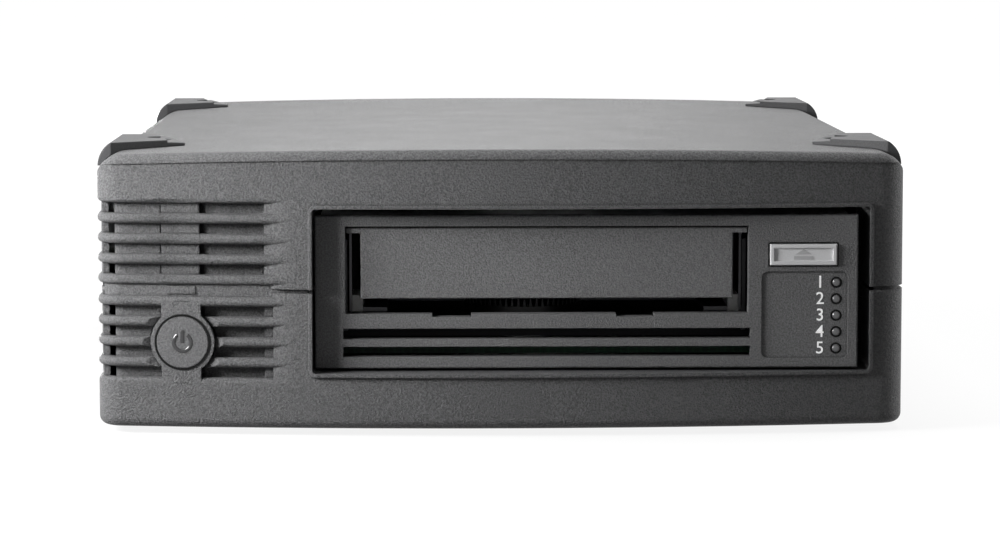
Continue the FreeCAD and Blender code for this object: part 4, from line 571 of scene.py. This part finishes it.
# painted shade: the raised symbol is near black, standing in for the shade of an engraved groove
def makePowerSymbol():
    middleX, middleZ = middleOf("power_button")
    faceY, lean = frontOf(["power_button"], middleX, middleZ)
    for piece, name in ((makePowerArc(), "powerArc"), (makePowerBar(), "powerBar")):
        turnToFront(piece)
        bakePlace(piece)
        piece.rotation_euler = (0, 0, lean)
        piece.location = (middleX, faceY, middleZ)
        finishPiece(piece, name, plastics["glossyGrooveShade"], "power_button")
        bpy.ops.object.shade_smooth_by_angle(angle=math.radians(50))


powerGap = {"inner": 0.00715, "outer": 0.00774, "thick": 0.00006, "bow": 0.00014}


def makePowerGapShade():
    # painted shadow: a black ring laid on the collar, standing in for the shaded gap round the button
    middleX, middleZ = middleOf("power_button")
    deselectAll()
    bpy.ops.mesh.primitive_circle_add(vertices=72, radius=powerGap["outer"], fill_type="NGON")
    ring = bpy.context.object
    editFaces(ring, lambda side: True)
    bpy.ops.mesh.inset(thickness=powerGap["outer"] - powerGap["inner"])
    bpy.ops.mesh.delete(type="FACE")
    bpy.ops.mesh.select_all(action="SELECT")
    bpy.ops.mesh.extrude_region_move(TRANSFORM_OT_translate={"value": (0, 0, powerGap["thick"])})
    turnOutwards()
    turnToFront(ring)
    bakePlace(ring)
    reach = powerGap["outer"]
    left = frontOf(["base_shell"], middleX - reach, middleZ)[0]
    right = frontOf(["base_shell"], middleX + reach, middleZ)[0]
    ring.rotation_euler = (0, 0, math.atan2(right - left, 2 * reach))
    ring.location = (middleX, (left + right) / 2 - powerGap["bow"], middleZ)
    finishPiece(ring, "powerGapShadeRing", plastics["paintedGapShade"], "enclosure")


makePowerSymbol()
makePowerGapShade()
print("power button finished")


ejectSymbol = {"baseHalf": 0.00225, "baseRise": 0.0001, "apexRise": 0.0015, "barHalf": 0.00265,
               "barTop": -0.0004, "barBottom": -0.0014, "proud": 0.00009, "border": 0.00014}


def makeEjectSymbol():
    middleX, middleZ = middleOf("eject_button")
    faceY = frontOf(["eject_button"], middleX, middleZ)[0]
    look = ejectSymbol
    deselectAll()
    bpy.ops.mesh.primitive_circle_add(vertices=3, radius=1, fill_type="NGON")
    arrow = bpy.context.object
    arrow.data.vertices[0].co = (0, look["apexRise"], 0)
    arrow.data.vertices[1].co = (-look["baseHalf"], look["baseRise"], 0)
    arrow.data.vertices[2].co = (look["baseHalf"], look["baseRise"], 0)
    deselectAll()
    bpy.ops.mesh.primitive_plane_add(size=1, location=(0, (look["barTop"] + look["barBottom"]) / 2, 0))
    bar = bpy.context.object
    bar.scale = (2 * look["barHalf"], look["barTop"] - look["barBottom"], 1)
    bakePlace(bar)
    for piece, name in ((arrow, "ejectArrow"), (bar, "ejectBar")):
        editFaces(piece, lambda side: True)
        bpy.ops.mesh.extrude_region_move(TRANSFORM_OT_translate={"value": (0, 0, look["proud"])})
        bpy.ops.mesh.inset(thickness=look["border"], depth=0)
        turnOutwards()
        turnToFront(piece)
        bakePlace(piece)
        piece.location = (middleX, faceY, middleZ)
        finishPiece(piece, name, plastics["greyInk"], "eject_button")


ejectFrame = {"wide": 0.00042, "thick": 0.00006, "corner": 0.0006, "step": 0.00005, "clear": 0.0002}


def makeEjectFrame():
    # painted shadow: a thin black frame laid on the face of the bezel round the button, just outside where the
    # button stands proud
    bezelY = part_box("drive_bezel")[0].y
    middleX, middleZ = middleOf("eject_button")
    left = middleX
    while frontOf(["eject_button", "drive_bezel"], left, middleZ)[0] < bezelY - ejectFrame["clear"]:
        left -= ejectFrame["step"]
    foot = middleZ
    while frontOf(["eject_button", "drive_bezel"], middleX, foot)[0] < bezelY - ejectFrame["clear"]:
        foot -= ejectFrame["step"]
    halfWide, halfHigh = middleX - left, middleZ - foot
    deselectAll()
    bpy.ops.mesh.primitive_plane_add(size=1, location=(middleX, bezelY, middleZ),
                                     rotation=(math.radians(90), 0, 0))
    rim = bpy.context.object
    rim.scale = (2 * (halfWide + ejectFrame["wide"]), 2 * (halfHigh + ejectFrame["wide"]), 1)
    bakePlace(rim)
    editFaces(rim, lambda side: True)
    bpy.ops.mesh.bevel(offset=ejectFrame["corner"], segments=5, affect="VERTICES")
    bpy.ops.mesh.select_all(action="SELECT")
    bpy.ops.mesh.inset(thickness=ejectFrame["wide"])
    bpy.ops.mesh.delete(type="FACE")
    bpy.ops.mesh.select_all(action="SELECT")
    bpy.ops.mesh.extrude_region_move(TRANSFORM_OT_translate={"value": (0, -ejectFrame["thick"], 0)})
    turnOutwards()
    finishPiece(rim, "ejectGapShadeRim", plastics["paintedGapShade"], "enclosure")


makeEjectSymbol()
makeEjectFrame()
print("eject button finished")


# screws of the fan and the inlet, with cross recesses

screw = {"radius": 0.0027, "headHigh": 0.0015, "edge": 0.0004, "shank": 0.0014, "crossLong": 0.0030,
         "crossWide": 0.00062, "crossDeep": 0.0010, "turn": 20, "rowHigh": 0.01}


def makeScrew(x, y, z, length):
    # y is the outer face of the head
    deselectAll()
    bpy.ops.mesh.primitive_cylinder_add(vertices=40, radius=screw["radius"], depth=screw["headHigh"],
                                        location=(x, y - screw["headHigh"] / 2, z),
                                        rotation=(math.radians(90), 0, 0))
    head = bpy.context.object
    bakePlace(head)
    bevelEdges(head, screw["edge"], 4)
    editFaces(head, facingFront)
    bpy.ops.mesh.inset(thickness=screw["radius"] - screw["edge"] - screw["shank"])
    bpy.ops.mesh.extrude_region_move(TRANSFORM_OT_translate={"value": (0, screw["headHigh"] - length, 0)})
    objectMode()
    for turn in (0, 90):
        deselectAll()
        bpy.ops.mesh.primitive_cube_add(size=1, location=(x, y, z),
                                        rotation=(0, math.radians(turn + screw["turn"]), 0),
                                        scale=(screw["crossLong"], screw["crossDeep"] * 2, screw["crossWide"]))
        cutter = bpy.context.object
        bakePlace(cutter)
        selectOnly(head)
        cut = head.modifiers.new("cross", "BOOLEAN")
        cut.operation = "DIFFERENCE"
        cut.solver = "EXACT"
        cut.object = cutter
        bpy.ops.object.modifier_apply(modifier=cut.name)
        bpy.data.objects.remove(cutter)
    bpy.ops.object.shade_smooth_by_angle(angle=math.radians(35))
    return head


def screwSet(name, node, places, outerY, length):
    heads = [makeScrew(x, outerY, z, length) for x, z in places]
    deselectAll()
    for head in heads:
        head.select_set(True)
    bpy.context.view_layer.objects.active = heads[0]
    bpy.ops.object.join()
    piece = bpy.context.object
    finishPiece(piece, name, metalFinishes["screwSteel"], "enclosure")
    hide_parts(node)


def makeScrews():
    # at the corners of the node's box, or in one row where the box is low
    for node, name in (("fan_screws", "fanScrewSet"), ("inlet_screws", "inletScrewSet")):
        low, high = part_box(node)
        inset = screw["radius"]
        xs = (low.x + inset, high.x - inset)
        zs = (low.z + inset, high.z - inset)
        if high.z - low.z < screw["rowHigh"]:
            zs = ((low.z + high.z) / 2,)
        screwSet(name, node, [(x, z) for x in xs for z in zs], high.y, high.y - low.y)


makeScrews()
print("screws made")


# stage, light and camera

stage = {"floorSize": 14.0, "floorColor": (0.11, 0.11, 0.11), "glow": 0.87, "fade": (0.25, 0.9),
         "worldLight": 0.022}


def seenRays(tree):
    # 1 for the rays that look at the stage, in the open or through gloss and glass
    path = tree.nodes.new("ShaderNodeLightPath")
    source = path.outputs["Is Camera Ray"]
    for kind in ("Is Glossy Ray", "Is Transmission Ray"):
        either = tree.nodes.new("ShaderNodeMath")
        either.operation = "MAXIMUM"
        tree.links.new(source, either.inputs[0])
        tree.links.new(path.outputs[kind], either.inputs[1])
        source = either.outputs["Value"]
    return source


def makeFloor():
    deselectAll()
    bpy.ops.mesh.primitive_plane_add(size=stage["floorSize"], location=(0, 0, 0))
    floor = bpy.context.object
    floor.name = "floor"
    material = bpy.data.materials.new("paleFloor")
    material.use_nodes = True
    tree = material.node_tree
    shader = tree.nodes["Principled BSDF"]
    shader.inputs["Base Color"].default_value = (*stage["floorColor"], 1)
    shader.inputs["Roughness"].default_value = 0.95
    shader.inputs["Specular IOR Level"].default_value = 0.0
    glow = tree.nodes.new("ShaderNodeEmission")   # whitens the floor without lighting the drive
    coords = tree.nodes.new("ShaderNodeTexCoord")
    reach = tree.nodes.new("ShaderNodeVectorMath")
    reach.operation = "LENGTH"
    tree.links.new(coords.outputs["Object"], reach.inputs[0])
    fade = tree.nodes.new("ShaderNodeMapRange")   # full white where the lamps no longer reach
    fade.inputs["From Min"].default_value = stage["fade"][0]
    fade.inputs["From Max"].default_value = stage["fade"][1]
    fade.inputs["To Min"].default_value = stage["glow"]
    tree.links.new(reach.outputs["Value"], fade.inputs["Value"])
    lift = tree.nodes.new("ShaderNodeMath")
    lift.operation = "MULTIPLY"
    tree.links.new(fade.outputs["Result"], lift.inputs[1])
    tree.links.new(seenRays(tree), lift.inputs[0])
    tree.links.new(lift.outputs["Value"], glow.inputs["Strength"])
    both = tree.nodes.new("ShaderNodeAddShader")
    tree.links.new(shader.outputs["BSDF"], both.inputs[0])
    tree.links.new(glow.outputs["Emission"], both.inputs[1])
    tree.links.new(both.outputs["Shader"], tree.nodes["Material Output"].inputs["Surface"])
    floor.data.materials.append(material)


def makeWorld():
    world = bpy.data.worlds.new("studio")
    bpy.context.scene.world = world
    world.use_nodes = True
    tree = world.node_tree
    background = tree.nodes["Background"]
    background.inputs["Color"].default_value = (*(stage["worldLight"],) * 3, 1)
    white = tree.nodes.new("ShaderNodeBackground")
    white.inputs["Color"].default_value = (1, 1, 1, 1)
    mix = tree.nodes.new("ShaderNodeMixShader")
    tree.links.new(seenRays(tree), mix.inputs["Fac"])
    tree.links.new(background.outputs["Background"], mix.inputs[1])
    tree.links.new(white.outputs["Background"], mix.inputs[2])
    tree.links.new(mix.outputs["Shader"], tree.nodes["World Output"].inputs["Surface"])


lamps = {
    "leftBox": {"place": (-0.30, -0.25, 0.15), "size": (0.16, 0.10), "power": 2.55, "aim": (0, -0.14, 0.04)},
    "backTop": {"place": (0.0, 1.35, 0.62), "size": (0.35, 0.30), "power": 2.2, "aim": (0, 0, 0.07)},
    "overhead": {"place": (0, 0.10, 1.45), "size": (1.2, 0.9), "power": 20.0, "aim": (0, 0, 0.07)},
    "rightFill": {"place": (1.3, 0.45, 0.5), "size": (0.8, 0.8), "power": 12.0, "aim": (0.1, 0, 0.04)},
    "backFill": {"place": (-0.4, 1.5, 0.045), "size": (1.0, 0.06), "power": 11.0, "aim": (0, 0.14, 0.045)},
    "frontFill": {"place": (0.1, -1.9, 0.12), "size": (0.6, 0.4), "power": 0.45, "aim": (0, -0.14, 0.04)},
}


def makeLamps():
    for name, look in lamps.items():
        deselectAll()
        bpy.ops.object.light_add(type="AREA", location=look["place"])
        lamp = bpy.context.object
        lamp.name = name
        lamp.data.shape = "RECTANGLE"
        lamp.data.size = look["size"][0]
        lamp.data.size_y = look["size"][1]
        lamp.data.energy = look["power"]
        lamp.visible_camera = False
        aim = Vector(look["aim"]) - Vector(look["place"])
        lamp.rotation_euler = aim.to_track_quat("-Z", "Y").to_euler()


cameraLook = {"place": (-0.01936, -1.0908, 0.13905), "yaw": 0.01984, "pitch": 0.10067, "roll": -0.00053,
              "lens": 125.93, "sensor": 36.0, "near": 0.05, "far": 50}


def makeCamera():
    data = bpy.data.cameras.new("camera")
    camera = bpy.data.objects.new("camera", data)
    bpy.context.collection.objects.link(camera)
    data.sensor_width = cameraLook["sensor"]
    data.lens = cameraLook["lens"]
    data.clip_start = cameraLook["near"]
    data.clip_end = cameraLook["far"]
    turn = Euler((math.pi / 2 - cameraLook["pitch"], 0, -cameraLook["yaw"])).to_matrix()
    roll = Matrix.Rotation(cameraLook["roll"], 3, "Z")
    camera.rotation_euler = (turn @ roll).to_euler()
    camera.location = cameraLook["place"]
    bpy.context.scene.camera = camera


makeFloor()
makeWorld()
makeLamps()
makeCamera()
bpy.context.scene.view_settings.view_transform = "Standard"
print("stage, lamps and camera ready")
